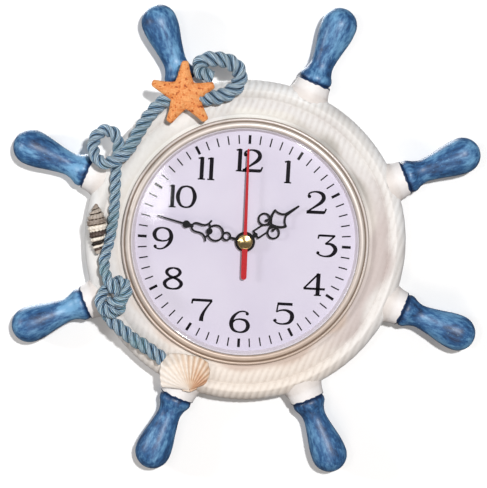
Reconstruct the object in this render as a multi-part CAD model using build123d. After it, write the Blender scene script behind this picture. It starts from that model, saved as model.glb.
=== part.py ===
from build123d import *
from math import atan2, cos, degrees, hypot, pi, radians, sin, sqrt, tan
import os

# Ship wheel wall clock, in millimetres.
# Every piece is drawn facing the viewer: x to the right, y up, z out from the wall,
# with the dial's centre at x = y = 0 and the wall at z = 0. At the end the pieces are
# turned so that the clock faces -Y with +Z up, and moved so that the origin is the
# centre of the hanger's round hole, on the plane of the back.

# Fits shared by all pieces
overrun = 1.0
running_gap = 0.05
press_gap = 0.01
seat_gap = 0.05
part_gap = 0.2

# Wheel rim: a cast ring with a smooth lip, two rounded bands and eight bosses
rim_outer_radius = 102.2
rim_width = 27.6
rim_edge_radius = 2.5
rim_edge_height = 11.0
lip_width = 5.9
lip_height = 22.5
inner_band_width = 10.7
inner_band_height = 23.6
band_groove_height = 22.3
outer_band_height = 24.0
outer_band_peak_share = 0.42

# Handles and the bosses that carry them
handle_count = 8
wheel_turn = -2.1
handle_height = 12.0
handle_tip_radius = 160.0
boss_reach = 7.8
boss_root_radius = 11.9
boss_end_radius = 10.9
handle_base_radius = 9.6
handle_flare_radius = 10.4
handle_waist_radius = 7.4
handle_bulb_radius = 11.4
handle_station_shares = (0.05, 0.23, 0.46)
handle_neck_share = 0.42
peg_radius = 4.0
peg_length = 12.0
peg_end_gap = 0.5

# Insert: the pan in the rim's bore, and what it holds
pan_wall = 1.5
pan_gap = 0.7
pan_floor = 1.5
flange_width = 2.3
grip_ring_width = 3.0
grip_ring_gap = 0.05
dial_thickness = 0.6
dial_gap = 0.5
spacer_foot = 2.3
spacer_top = 0.8
spacer_gap = 0.1
lens_thickness = 1.6
lens_overlap = 1.0
lens_rise = 4.4
bezel_overhang = 2.4
bezel_skirt_height = 1.9
bezel_outer_bead_height = 1.5
bezel_groove_height = 0.9
bezel_inner_bead_height = 2.8
bezel_inner_bead_width = 3.5
bezel_lip_overlap = 0.8
bezel_lip_thickness = 0.5

# Movement: a square case on the pan's back, with a threaded post through the dial
case_corner_radius = 4.0
case_depth = 16.0
case_wall = 1.5
cover_depth = 3.0
wall_space = 1.5
post_radius = 4.0
post_length = 4.4
washer_radius = 6.2
washer_thickness = 0.6
nut_radius = 5.6
nut_thickness = 1.5
nut_slot_width = 1.4
nut_slot_depth = 0.9

# Battery and its bay, along the case's lower side
battery_radius = 7.25
battery_length = 50.5
battery_nub_radius = 2.75
battery_nub_length = 1.1
battery_gap = 0.35
bay_wall = 1.0
contact_thickness = 0.4
contact_width = 3.0
contact_dimple_radius = 1.5
contact_spring_radius = 3.2
contact_spring_share = 0.67
contact_gap = 0.1
contact_room = 1.5
strip_length = 46.0
strip_rise = 12.0

# Gear train. Layers are heights above the inside of the rear cover.
arbor_radius = 0.5
pivot_depth = 0.8
wheel_thickness = 0.8
motion_thickness = 1.0
rotor_layer = 1.4
rotor_thickness = 1.6
rotor_radius = 3.0
intermediate_layer = 3.4
seconds_layer = 5.0
third_layer = 6.6
centre_layer = 8.2
cannon_layer = 10.0
hour_layer = 11.6
train_module = 0.25
centre_module = 0.2
motion_module = 0.3
rotor_teeth = 10
intermediate_teeth = 60
intermediate_pinion_teeth = 12
seconds_teeth = 60
seconds_pinion_teeth = 10
third_teeth = 75
third_pinion_teeth = 10
centre_teeth = 80
minute_pinion_teeth = 15
motion_teeth = 45
motion_pinion_teeth = 12
hour_teeth = 48
knob_pinion_teeth = 20
intermediate_direction = 120.0
rotor_direction = 170.0
third_direction = 180.0
motion_direction = 60.0
knob_direction = 45.0
tooth_addendum_share = 0.7
tooth_dedendum_share = 1.0
tooth_tip_share = 0.12
tooth_root_share = 0.22
spoke_hole_count = 5
spoke_hole_place_share = 0.6
spoke_hole_share = 0.19

# Arbors that carry the hands, one inside the other
seconds_arbor_radius = 0.55
minute_tube_radius = 1.9
hour_pipe_radius = 2.75
minute_flange_radius = 2.8
minute_flange_thickness = 0.5
clutch_radius = 3.0
hand_seat_length = 0.2
hour_hand_thickness = 0.5
minute_hand_thickness = 0.4
second_hand_thickness = 0.3
hand_spacing = 0.6
post_to_hand = 0.2

# Setting knob, in a pocket of the rear cover
knob_radius = 5.0
knob_thickness = 2.3
knob_shaft_radius = 1.0
knob_stand_out = 0.5
knob_pocket_gap = 0.4
knob_pocket_wall = 1.0
knob_floor_gap = 0.3
knob_groove_count = 16
knob_groove_radius = 0.45

# Motor and circuit board
rotor_hole_radius = 3.6
stator_thickness = 0.8
stator_height = 1.6
stator_margin = 3.2
stator_leg_width = 3.5
core_width = 2.6
core_height = 2.8
coil_length = 20.0
coil_centre_x = -9.75
coil_centre_y = 20.5
bobbin_wall = 0.3
bobbin_flange_radius = 3.5
bobbin_flange_thickness = 0.8
bobbin_gap = 0.05
winding_radius = 3.3
board_width = 11.4
board_height = 21.5
board_thickness = 1.0
board_side_gap = 0.6
board_peg_radius = 1.0
board_peg_inset = 3.0
chip_radius = 3.0
chip_height = 1.2

# Hands, lengths from the axis
hour_hand_length = 41.2
minute_hand_length = 58.1
second_hand_length = 59.0
second_tail_length = 24.0
hour_hand_angle = 53.3
minute_hand_angle = 283.7
second_hand_angle = -1.0
hand_stroke = 1.2
curve_steps = 4
hub_radius = 6.4
minute_hub_radius = 5.6
second_hub_radius = 3.2
spike_width = 1.3
spike_tip_width = 0.8
hour_frame_width = 6.6
hour_ring_radius = 4.2
hour_ring_place_share = 0.44
hour_ring_side = 5.2
hour_ball_radius = 1.0
hour_cross_share = 0.485
hour_kite_share = 0.655
hour_kite_side = 6.1
hour_kite_flare_share = 0.55
hour_kite_waist_share = 0.35
hour_kite_width_share = 1.2
hour_spike_share = 0.79
minute_small_ring_radius = 3.0
minute_small_ring_share = 0.21
minute_ring_radius = 5.5
minute_ring_share = 0.335
minute_leaf_radius = 2.0
minute_leaf_share = 0.405
minute_lyre_along_shares = (0.418, 0.435, 0.46, 0.495, 0.535, 0.575, 0.605)
minute_lyre_across_shares = (1.0, 0.7, 0.5, 0.41, 0.42, 0.38, 0.0)
minute_lyre_side = 6.5
minute_lyre_foot_angle = 36.0
minute_ball_share = 0.668
minute_ball_radius = 2.4
second_root_width = 2.2
second_tip_width = 1.3
second_tail_width = 3.6
cap_radius = 4.65
cap_height = 1.6

# Hanger: a keyhole plate let into the rim's back, over a pocket for the nail's head
hang_inset = 15.2
hanger_width = 30.0
hanger_height = 18.0
hanger_thickness = 1.0
hanger_below = 7.0
hanger_gap = 0.15
keyhole_radius = 4.5
keyhole_slot_width = 4.2
keyhole_rise = 6.5
nail_pocket_width = 12.0
nail_pocket_depth = 6.0
nail_pocket_margin = 1.0
screw_spacing = 22.0
screw_radius = 1.4
screw_head_radius = 2.6
screw_head_depth = 0.8
screw_length = 9.0
screw_gap = 0.1

# Rope, glued on: one length from the scallop shell through a knot and two loops
rope_radius = 3.2
rope_lift = 0.3
bend_share = 0.45

# Shells and starfish, glued on
star_x = -42.5
star_y = 91.3
star_gap = 0.3
star_arm_angles = (-3.0, 69.0, 137.0, 209.0, 286.0)
star_arm_shares = (1.0, 0.92, 1.03, 0.99, 1.06)
star_arm_length = 20.6
star_root_radius = 7.4
star_tip_radius = 1.7
star_root_place_share = 0.12
star_flatness_share = 0.6
whelk_x = -94.9
whelk_top_y = 19.4
whelk_tilt = 5.0
whelk_length = 31.5
whelk_radius = 6.3
whelk_tip_radius = 0.6
whelk_canal_radius = 1.3
whelk_body_share = 0.38
whelk_whorl_shares = (0.34, 0.52, 0.7, 0.86)
whelk_whorl_place_shares = (0.06, 0.13, 0.21, 0.29)
whelk_suture_share = 0.9
whelk_gap = 0.2
scallop_x = -29.8
scallop_y = -96.6
scallop_height = 22.0
scallop_direction = 100.0
scallop_spread_angle = 118.0
scallop_rib_count = 13
scallop_side_share = 0.82
scallop_hinge_height = 5.0
scallop_hinge_radius = 1.6
scallop_edge_height = 2.2
scallop_rib_share = 1.25
scallop_gap = 0.2

# The case is as long inside as the cell, its spring and the two contacts
case_size = battery_length + contact_room + 2 * (case_wall + contact_thickness + contact_gap)

# Heights from the wall, worked out from the sizes above
case_back = wall_space
case_split = case_back + cover_depth
cover_inside = case_back + case_wall
case_front = case_back + case_depth
case_ceiling = case_front - case_wall
dial_back = case_front + pan_floor
dial_front = dial_back + dial_thickness
washer_front = dial_front + washer_thickness
nut_front = washer_front + nut_thickness
post_front = case_front + post_length
flange_front = lip_height + pan_wall
hour_hand_back = post_front + post_to_hand
hour_hand_front = hour_hand_back + hour_hand_thickness
minute_hand_back = hour_hand_front + hand_spacing
minute_hand_front = minute_hand_back + minute_hand_thickness
second_hand_back = minute_hand_front + hand_spacing + hand_seat_length
second_hand_front = second_hand_back + second_hand_thickness
rope_height = outer_band_height + rope_radius + rope_lift

# Radii and distances that follow from one another
rim_bore_radius = rim_outer_radius - rim_width
hang_drop = rim_outer_radius - hang_inset
pan_radius = rim_bore_radius - pan_gap
pan_inner_radius = pan_radius - pan_wall
flange_radius = pan_radius + flange_width
bezel_outer_radius = flange_radius + bezel_overhang
dial_radius = pan_inner_radius - dial_gap
spacer_radius = pan_inner_radius - spacer_gap
lens_radius = pan_inner_radius + lens_overlap
groove_radius = rim_bore_radius + lip_width + inner_band_width
post_bore = hour_pipe_radius + running_gap
hour_bore = minute_tube_radius + running_gap
minute_bore = seconds_arbor_radius + running_gap
arbor_hole = arbor_radius + running_gap
handle_base = rim_outer_radius + boss_reach
handle_length = handle_tip_radius - handle_base

# Places of the arbors on the dial's plane
third_distance = (centre_teeth + third_pinion_teeth) * centre_module / 2
third_module = 2 * third_distance / (third_teeth + seconds_pinion_teeth)
intermediate_distance = (seconds_teeth + intermediate_pinion_teeth) * train_module / 2
rotor_distance = (intermediate_teeth + rotor_teeth) * train_module / 2
motion_distance = (minute_pinion_teeth + motion_teeth) * motion_module / 2
knob_distance = (knob_pinion_teeth + motion_teeth) * motion_module / 2

battery_y = -(case_size / 2 - case_wall - battery_gap - battery_radius)
battery_z = case_ceiling - battery_gap - battery_radius
bay_top = battery_y + battery_radius + battery_gap
case_inside = case_size / 2 - case_wall


def polar(distance, direction, start=(0, 0)):
    """Point at a distance from start, in a direction counted anticlockwise from +x."""
    return (start[0] + distance * cos(radians(direction)), start[1] + distance * sin(radians(direction)))


centre_place = (0, 0)
intermediate_place = polar(intermediate_distance, intermediate_direction)
rotor_place = polar(rotor_distance, rotor_direction, intermediate_place)
third_place = polar(third_distance, third_direction)
motion_place = polar(motion_distance, motion_direction)
knob_place = polar(knob_distance, knob_direction, motion_place)


def block(left, right, low, high, back, front):
    """Box between two values along each axis."""
    middle = Pos((left + right) / 2, (low + high) / 2, (back + front) / 2)
    return middle * Box(right - left, high - low, front - back)


def disc(radius, back, front, place=(0, 0)):
    return Pos(place[0], place[1], (back + front) / 2) * Cylinder(radius, front - back)


def ring(outer, inner, back, front, place=(0, 0)):
    bore = disc(inner, back - overrun, front + overrun, place)
    return disc(outer, back, front, place) - bore


def turned(outline):
    """Solid of revolution about z, from edges drawn as (radius, height)."""
    return revolve(Plane.XZ * make_face(outline), Axis.Z)


def rounded_block(size, corner, back, front):
    plate = extrude(RectangleRounded(size, size, corner), front - back)
    return Pos(0, 0, back) * plate


def slab(sketch, back, front, turn=0):
    """Flat piece cut from a sketch, turned clockwise by an angle in degrees."""
    return Pos(0, 0, back) * Rot(0, 0, -turn) * extrude(sketch, front - back)


# Gears

def tooth_phase(mate_phase, mate_teeth, teeth, direction):
    """Angle of a tooth that puts a gap of this gear on the mating gear's tooth."""
    mate_offset = mate_phase - direction
    return direction + 180 + 180 / teeth - mate_offset * mate_teeth / teeth


def gear(teeth, module, back, front, phase, place=(0, 0), bore=0):
    """Spur gear with straight-sided teeth, one tooth centred on the phase angle."""
    pitch_radius = teeth * module / 2
    tip_radius = pitch_radius + tooth_addendum_share * module
    root_radius = pitch_radius - tooth_dedendum_share * module
    corners = (
        (-tooth_root_share, root_radius),
        (-tooth_tip_share, tip_radius),
        (tooth_tip_share, tip_radius),
        (tooth_root_share, root_radius),
    )
    points = []
    for tooth in range(teeth):
        for share, radius in corners:
            points.append(polar(radius, phase + 360 * (tooth + share) / teeth))
    face = make_face(Polyline(*points, close=True))
    if bore:
        face = face - Circle(bore)
    return Pos(place[0], place[1], back) * extrude(face, front - back)


def spoke_holes(teeth, module, back, front, place=(0, 0)):
    pitch_radius = teeth * module / 2
    hole = disc(spoke_hole_share * pitch_radius, back - overrun, front + overrun)
    around = PolarLocations(spoke_hole_place_share * pitch_radius, spoke_hole_count)
    return [Pos(place[0], place[1], 0) * spot * hole for spot in around]


def layer(offset, thickness=wheel_thickness):
    """Back and front heights of a layer of the train."""
    back = cover_inside + offset
    return back, back + thickness


def arbor(place, radius=arbor_radius):
    """Thin shaft whose ends sit in the rear cover and the front wall."""
    return disc(radius, cover_inside - pivot_depth + part_gap, case_ceiling + pivot_depth - part_gap, place)


seconds_phase = 0
centre_phase = tooth_phase(0, third_pinion_teeth, centre_teeth, third_direction + 180)
intermediate_pinion_phase = tooth_phase(seconds_phase, seconds_teeth, intermediate_pinion_teeth, intermediate_direction)
rotor_phase = tooth_phase(0, intermediate_teeth, rotor_teeth, rotor_direction)
third_phase = tooth_phase(0, seconds_pinion_teeth, third_teeth, third_direction)
motion_phase = tooth_phase(0, minute_pinion_teeth, motion_teeth, motion_direction)
hour_phase = tooth_phase(0, motion_pinion_teeth, hour_teeth, motion_direction + 180)
knob_phase = tooth_phase(motion_phase, motion_teeth, knob_pinion_teeth, knob_direction)


# Wheel

def handle_angle(index):
    """Clockwise angle of a handle from the top of the dial."""
    return wheel_turn + 360 * (index + 1 / 2) / handle_count


def handle_plane(index):
    """Plane whose z axis runs outward along a handle, from the wheel's axis."""
    angle = radians(handle_angle(index))
    return Plane(
        origin=(0, 0, handle_height),
        x_dir=(cos(angle), -sin(angle), 0),
        z_dir=(sin(angle), cos(angle), 0),
    )


def wheel_rim():
    lip_radius = rim_bore_radius + lip_width
    band_middle = lip_radius + inner_band_width / 2
    peak_radius = groove_radius + outer_band_peak_share * (rim_outer_radius - groove_radius)
    shoulder = (
        peak_radius + (rim_outer_radius - peak_radius) * sqrt(1 / 2),
        rim_edge_height + (outer_band_height - rim_edge_height) * sqrt(1 / 2),
    )
    outline = [
        Line((rim_bore_radius, 0), (rim_bore_radius, lip_height)),
        Line((rim_bore_radius, lip_height), (lip_radius, lip_height)),
        ThreePointArc((lip_radius, lip_height), (band_middle, inner_band_height), (groove_radius, band_groove_height)),
        ThreePointArc(
            (groove_radius, band_groove_height),
            ((groove_radius + peak_radius) / 2, (band_groove_height + 3 * outer_band_height) / 4),
            (peak_radius, outer_band_height),
        ),
        ThreePointArc((peak_radius, outer_band_height), shoulder, (rim_outer_radius, rim_edge_height)),
        Line((rim_outer_radius, rim_edge_height), (rim_outer_radius, rim_edge_radius)),
        ThreePointArc(
            (rim_outer_radius, rim_edge_radius),
            (rim_outer_radius - rim_edge_radius * (1 - sqrt(1 / 2)), rim_edge_radius * (1 - sqrt(1 / 2))),
            (rim_outer_radius - rim_edge_radius, 0),
        ),
        Line((rim_outer_radius - rim_edge_radius, 0), (rim_bore_radius, 0)),
    ]
    rim = turned(outline)
    boss_start = groove_radius
    boss = Cone(boss_root_radius, boss_end_radius, handle_base - boss_start)
    socket_length = peg_length + peg_end_gap
    socket = Cylinder(peg_radius + part_gap, socket_length + overrun)
    for index in range(handle_count):
        plane = handle_plane(index)
        rim = rim + plane * Pos(0, 0, (handle_base + boss_start) / 2) * boss
    for index in range(handle_count):
        plane = handle_plane(index)
        rim = rim - plane * Pos(0, 0, handle_base + (overrun - socket_length) / 2) * socket
    plate_low = hang_drop - hanger_below - hanger_gap
    plate_high = plate_low + hanger_height + 2 * hanger_gap
    plate_side = hanger_width / 2 + hanger_gap
    rim = rim - block(-plate_side, plate_side, plate_low, plate_high, -overrun, hanger_thickness)
    pocket_low = hang_drop - keyhole_radius - nail_pocket_margin / 2
    pocket_high = hang_drop + keyhole_rise + keyhole_radius
    pocket_side = nail_pocket_width / 2
    pocket_top = hanger_thickness + nail_pocket_depth
    rim = rim - block(-pocket_side, pocket_side, pocket_low, pocket_high, 0, pocket_top)
    for side in (-1, 1):
        place = (side * screw_spacing / 2, hanger_middle())
        rim = rim - disc(screw_radius + screw_gap, 0, screw_length + screw_gap, place)
    return rim


def handle(index):
    flare, waist, neck = (handle_base + share * handle_length for share in handle_station_shares)
    bulb = handle_tip_radius - handle_bulb_radius
    cheek = handle_bulb_radius * sqrt(1 / 2)
    neck_radius = handle_waist_radius + handle_neck_share * (handle_bulb_radius - handle_waist_radius)
    outline = [
        Line((0, handle_base), (handle_base_radius, handle_base)),
        Spline(
            (handle_base_radius, handle_base),
            (handle_flare_radius, flare),
            (handle_waist_radius, waist),
            tangents=((1, 1), (0, 1)),
        ),
        Spline(
            (handle_waist_radius, waist),
            (neck_radius, neck),
            (handle_bulb_radius, bulb),
            tangents=((0, 1), (0, 1)),
        ),
        ThreePointArc((handle_bulb_radius, bulb), (cheek, bulb + cheek), (0, handle_tip_radius)),
        Line((0, handle_tip_radius), (0, handle_base)),
    ]
    peg = disc(peg_radius, handle_base - peg_length, handle_base + overrun)
    return handle_plane(index) * (turned(outline) + peg)


# Hanger

def hanger_middle():
    return hang_drop - hanger_below + hanger_height / 2


def hanger_plate():
    low = hang_drop - hanger_below
    plate = block(-hanger_width / 2, hanger_width / 2, low, low + hanger_height, 0, hanger_thickness)
    slot_half = keyhole_slot_width / 2
    slot_end = hang_drop + keyhole_rise
    past = hanger_thickness + overrun
    plate = plate - disc(keyhole_radius, -overrun, past, (0, hang_drop))
    plate = plate - block(-slot_half, slot_half, hang_drop, slot_end, -overrun, past)
    plate = plate - disc(slot_half, -overrun, past, (0, slot_end))
    for side in (-1, 1):
        place = (side * screw_spacing / 2, hanger_middle())
        plate = plate - disc(screw_radius + screw_gap, -overrun, past, place)
        sink = Cone(screw_head_radius + screw_gap, screw_radius + screw_gap, screw_head_depth)
        plate = plate - Pos(place[0], place[1], screw_head_depth / 2) * sink
    return plate


def hanger_screws():
    screws = []
    for side in (-1, 1):
        place = (side * screw_spacing / 2, hanger_middle())
        head = Pos(place[0], place[1], screw_head_depth / 2)
        screw = disc(screw_radius, screw_head_depth / 2, screw_length, place)
        screw = screw + head * Cone(screw_head_radius, screw_radius, screw_head_depth)
        cross = screw_radius * 2
        groove = screw_head_depth / 3
        for width, height in ((cross, cross / 4), (cross / 4, cross)):
            screw = screw - Pos(place[0], place[1], 0) * Box(width, height, groove)
        screws.append(screw)
    return Compound(screws)


# Insert

def insert_housing():
    pan = turned([
        Polyline(
            (0, case_front),
            (pan_radius, case_front),
            (pan_radius, lip_height),
            (flange_radius, lip_height),
            (flange_radius, flange_front),
            (pan_inner_radius, flange_front),
            (pan_inner_radius, dial_back),
            (0, dial_back),
            (0, case_front),
        )
    ])
    return pan - disc(post_radius + part_gap / 2, case_front - overrun, dial_back + overrun)


def grip_ring():
    back = case_front + pan_floor
    return ring(rim_bore_radius - grip_ring_gap, pan_radius, back, back + grip_ring_width)


def dial():
    return ring(dial_radius, post_radius + part_gap / 2, dial_back, dial_front)


def dial_spacer_ring():
    top = flange_front - seat_gap
    return turned([
        Polyline(
            (spacer_radius - spacer_foot, dial_front),
            (spacer_radius, dial_front),
            (spacer_radius, top),
            (spacer_radius - spacer_top, top),
            (spacer_radius - spacer_foot, dial_front),
        )
    ])


def lens_height(radius, thickness=0):
    """Height of the lens's inner or outer face at a radius."""
    ball = (lens_radius ** 2 + lens_rise ** 2) / (2 * lens_rise)
    return flange_front + thickness + sqrt(ball ** 2 - radius ** 2) - (ball - lens_rise)


def lens():
    edge_top = flange_front + lens_thickness
    half = lens_radius / 2
    return turned([
        Line((0, lens_height(0)), (0, lens_height(0, lens_thickness))),
        ThreePointArc((0, lens_height(0, lens_thickness)), (half, lens_height(half, lens_thickness)), (lens_radius, edge_top)),
        Line((lens_radius, edge_top), (lens_radius, flange_front)),
        ThreePointArc((lens_radius, flange_front), (half, lens_height(half)), (0, lens_height(0))),
    ])


def bezel():
    base = lip_height + seat_gap
    skirt_top = base + bezel_skirt_height
    groove = flange_radius + part_gap
    groove_top = skirt_top + bezel_groove_height
    outer_bead_top = skirt_top + bezel_outer_bead_height
    inner_start = groove - bezel_inner_bead_width
    lip_radius = lens_radius - bezel_lip_overlap
    lip_bottom = lens_height(lip_radius, lens_thickness) + seat_gap
    lip_top = lip_bottom + bezel_lip_thickness
    cavity_radius = lens_radius + part_gap
    inner_bead_top = skirt_top + bezel_inner_bead_height
    return turned([
        Line((groove, base), (bezel_outer_radius, base)),
        Line((bezel_outer_radius, base), (bezel_outer_radius, skirt_top)),
        ThreePointArc(
            (bezel_outer_radius, skirt_top),
            ((bezel_outer_radius + groove) / 2, outer_bead_top),
            (groove, groove_top),
        ),
        ThreePointArc(
            (groove, groove_top),
            ((groove + inner_start) / 2, inner_bead_top),
            (lip_radius, lip_top),
        ),
        Line((lip_radius, lip_top), (lip_radius, lip_bottom)),
        Line((lip_radius, lip_bottom), (cavity_radius, lip_bottom)),
        Line((cavity_radius, lip_bottom), (cavity_radius, flange_front + seat_gap)),
        Line((cavity_radius, flange_front + seat_gap), (groove, flange_front + seat_gap)),
        Line((groove, flange_front + seat_gap), (groove, base)),
    ])


# Movement case

def movement_front_case():
    shell = rounded_block(case_size, case_corner_radius, case_split, case_front)
    inside_corner = case_corner_radius - case_wall
    shell = shell - rounded_block(2 * case_inside, inside_corner, case_split - overrun, case_ceiling)
    wall_side = case_inside - contact_thickness - contact_gap - part_gap
    shell = shell + block(-wall_side, wall_side, bay_top, bay_top + bay_wall, case_split, case_ceiling)
    shell = shell + disc(post_radius, case_front, post_front)
    shell = shell - disc(post_bore, case_ceiling - overrun, post_front + overrun)
    for place in (intermediate_place, rotor_place, third_place, motion_place, knob_place):
        shell = shell - disc(arbor_hole, case_ceiling - overrun, case_ceiling + pivot_depth, place)
    return shell


def movement_rear_cover():
    cover = rounded_block(case_size, case_corner_radius, case_back, case_split)
    inside_corner = case_corner_radius - case_wall
    cover = cover - rounded_block(2 * case_inside, inside_corner, cover_inside, case_split + overrun)
    pocket_radius = knob_radius + knob_pocket_gap
    pocket_top = case_back - knob_stand_out + knob_thickness + knob_floor_gap
    cover = cover + disc(pocket_radius + knob_pocket_wall, case_back, pocket_top + knob_pocket_wall, knob_place)
    cover = cover - disc(pocket_radius, case_back - overrun, pocket_top, knob_place)
    cover = cover - disc(knob_shaft_radius + running_gap, case_back, pocket_top + 2 * overrun, knob_place)
    for place in board_pegs():
        cover = cover + disc(board_peg_radius, cover_inside, board_back(), place)
    cover = cover - block(-case_inside, case_inside, -case_inside, bay_top, case_back - overrun, case_split + overrun)
    wall_side = case_inside - contact_thickness - contact_gap - part_gap
    cover = cover + block(-wall_side, wall_side, bay_top, bay_top + bay_wall, case_back, case_split)
    for place in (intermediate_place, rotor_place, third_place, centre_place):
        cover = cover - disc(arbor_hole, cover_inside - pivot_depth, cover_inside + overrun, place)
    cover = cover - disc(arbor_hole, cover_inside - pivot_depth, cover_inside + overrun, motion_place)
    return cover


def dial_washer():
    return ring(washer_radius, post_radius + part_gap, dial_front, washer_front)


def mounting_nut():
    nut = ring(nut_radius, post_radius + press_gap, washer_front, nut_front)
    slot_back = nut_front - nut_slot_depth
    slot = block(-nut_radius - overrun, nut_radius + overrun, -nut_slot_width / 2, nut_slot_width / 2, slot_back, nut_front + overrun)
    return nut - slot


# Battery bay

def battery_left():
    return -(case_inside - contact_thickness - contact_gap) + contact_spring_length() + contact_gap


def contact_spring_length():
    room = 2 * (case_inside - contact_thickness - contact_gap)
    return (room - battery_length) * contact_spring_share


def along_bay(left, right, radius):
    middle = Pos((left + right) / 2, battery_y, battery_z)
    return middle * Rot(0, 90, 0) * Cylinder(radius, right - left)


def battery():
    left = battery_left()
    shoulder = left + battery_length - battery_nub_length
    cell = along_bay(left, shoulder, battery_radius)
    return cell + along_bay(shoulder, left + battery_length, battery_nub_radius)


def contact_plate(side):
    outer = side * (case_inside - contact_gap)
    inner = side * (case_inside - contact_gap - contact_thickness)
    return min(outer, inner), max(outer, inner)


def battery_contact_plus():
    left, right = contact_plate(1)
    plate = block(left, right, battery_y - contact_width, battery_y + strip_rise, battery_z - contact_width / 2, battery_z + contact_width / 2)
    reach = battery_left() + battery_length + contact_gap
    return plate + along_bay(reach, left, contact_dimple_radius)


def battery_contact_minus():
    left, right = contact_plate(-1)
    strip_back = battery_z - contact_width / 2
    strip_front = battery_z + contact_width / 2
    strip_low = bay_top + bay_wall + contact_gap
    plate = block(left, right, battery_y - contact_width, strip_low + contact_thickness, strip_back, strip_front)
    strip = block(left, left + strip_length, strip_low, strip_low + contact_thickness, strip_back, strip_front)
    return plate + strip + along_bay(right, right + contact_spring_length(), contact_spring_radius)


# Motor and board

def board_back():
    return cover_inside + rotor_layer + rotor_thickness / 2


def board_left():
    return case_inside - board_side_gap - board_width


def board_low():
    return bay_top + bay_wall + 2 * contact_gap + contact_thickness


def board_pegs():
    x = case_inside - board_side_gap - board_peg_inset
    return [
        (x, board_low() + board_peg_inset),
        (x, board_low() + board_height - board_peg_inset),
    ]


def circuit_board():
    left = board_left()
    low = board_low()
    back = board_back()
    front = back + board_thickness
    board = block(left, left + board_width, low, low + board_height, back, front)
    chip_place = (left + board_width / 2, low + board_height / 2)
    return board + disc(chip_radius, front, front + chip_height, chip_place)


def core_back():
    return cover_inside + stator_height + stator_thickness


def stator():
    back = cover_inside + stator_height
    front = back + stator_thickness
    left = coil_centre_x - coil_length / 2 - stator_leg_width
    right = coil_centre_x + coil_length / 2 + stator_leg_width
    top = coil_centre_y + core_width / 2
    plate_low = rotor_place[1] - rotor_hole_radius - stator_margin / 4
    plate_high = rotor_place[1] + rotor_hole_radius + stator_margin / 4
    plate_right = rotor_place[0] + rotor_hole_radius + stator_margin
    plates = block(left, plate_right, plate_low, plate_high, back, front)
    plates = plates + block(left, left + stator_leg_width, plate_low, top, back, front)
    yoke_low = plate_high - stator_margin / 3
    plates = plates + block(plate_right - stator_leg_width, right, yoke_low, yoke_low + stator_leg_width, back, front)
    plates = plates + block(right - stator_leg_width, right, yoke_low, top, back, front)
    plates = plates - disc(rotor_hole_radius, back - overrun, front + overrun, rotor_place)
    core_low = coil_centre_y - core_width / 2
    return plates + block(left, right, core_low, top, front, front + core_height)


def along_coil(left, right, radius):
    middle = Pos((left + right) / 2, coil_centre_y, core_back() + core_height / 2)
    return middle * Rot(0, 90, 0) * Cylinder(radius, right - left)


def barrel_radius():
    return hypot(core_width / 2, core_height / 2) + bobbin_gap + bobbin_wall


def coil_bobbin():
    left = coil_centre_x - coil_length / 2
    right = coil_centre_x + coil_length / 2
    bobbin = along_coil(left, right, barrel_radius())
    bobbin = bobbin + along_coil(left, left + bobbin_flange_thickness, bobbin_flange_radius)
    bobbin = bobbin + along_coil(right - bobbin_flange_thickness, right, bobbin_flange_radius)
    side = core_width / 2 + bobbin_gap
    core = block(
        left - overrun,
        right + overrun,
        coil_centre_y - side,
        coil_centre_y + side,
        core_back() - bobbin_gap,
        core_back() + core_height + bobbin_gap,
    )
    return bobbin - core


def coil_winding():
    left = coil_centre_x - coil_length / 2 + bobbin_flange_thickness
    right = coil_centre_x + coil_length / 2 - bobbin_flange_thickness
    return along_coil(left, right, winding_radius) - along_coil(left - overrun, right + overrun, barrel_radius())


def rotor():
    back, front = layer(rotor_layer, rotor_thickness)
    magnet = disc(rotor_radius, back, front, rotor_place)
    pinion = gear(rotor_teeth, train_module, *layer(intermediate_layer), rotor_phase, rotor_place)
    hub = disc(arbor_radius * 2, front, cover_inside + intermediate_layer, rotor_place)
    return magnet + hub + pinion + arbor(rotor_place)


# Gear train

def intermediate_wheel():
    back, front = layer(intermediate_layer)
    wheel = gear(intermediate_teeth, train_module, back, front, 0, intermediate_place)
    for hole in spoke_holes(intermediate_teeth, train_module, back, front, intermediate_place):
        wheel = wheel - hole
    hub = disc(arbor_radius * 2, back, cover_inside + seconds_layer + wheel_thickness, intermediate_place)
    pinion_layer = layer(seconds_layer)
    pinion = gear(intermediate_pinion_teeth, train_module, *pinion_layer, intermediate_pinion_phase, intermediate_place)
    return wheel + hub + pinion + arbor(intermediate_place)


def seconds_wheel():
    back, front = layer(seconds_layer)
    wheel = gear(seconds_teeth, train_module, back, front, seconds_phase)
    for hole in spoke_holes(seconds_teeth, train_module, back, front):
        wheel = wheel - hole
    pinion_front = layer(third_layer)[1]
    pinion = gear(seconds_pinion_teeth, third_module, front, pinion_front, 0)
    foot = disc(arbor_radius, cover_inside - pivot_depth + part_gap, back)
    shaft = disc(seconds_arbor_radius, back, second_hand_front + hand_seat_length)
    return wheel + pinion + foot + shaft


def third_wheel():
    back, front = layer(third_layer)
    wheel = gear(third_teeth, third_module, back, front, third_phase, third_place)
    for hole in spoke_holes(third_teeth, third_module, back, front, third_place):
        wheel = wheel - hole
    pinion_front = layer(centre_layer)[1]
    pinion = gear(third_pinion_teeth, centre_module, front, pinion_front, 0, third_place)
    return wheel + pinion + arbor(third_place)


def centre_wheel():
    back, front = layer(centre_layer)
    wheel = gear(centre_teeth, centre_module, back, front, centre_phase, centre_place, hour_bore)
    for hole in spoke_holes(centre_teeth, centre_module, back, front):
        wheel = wheel - hole
    return wheel


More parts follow.
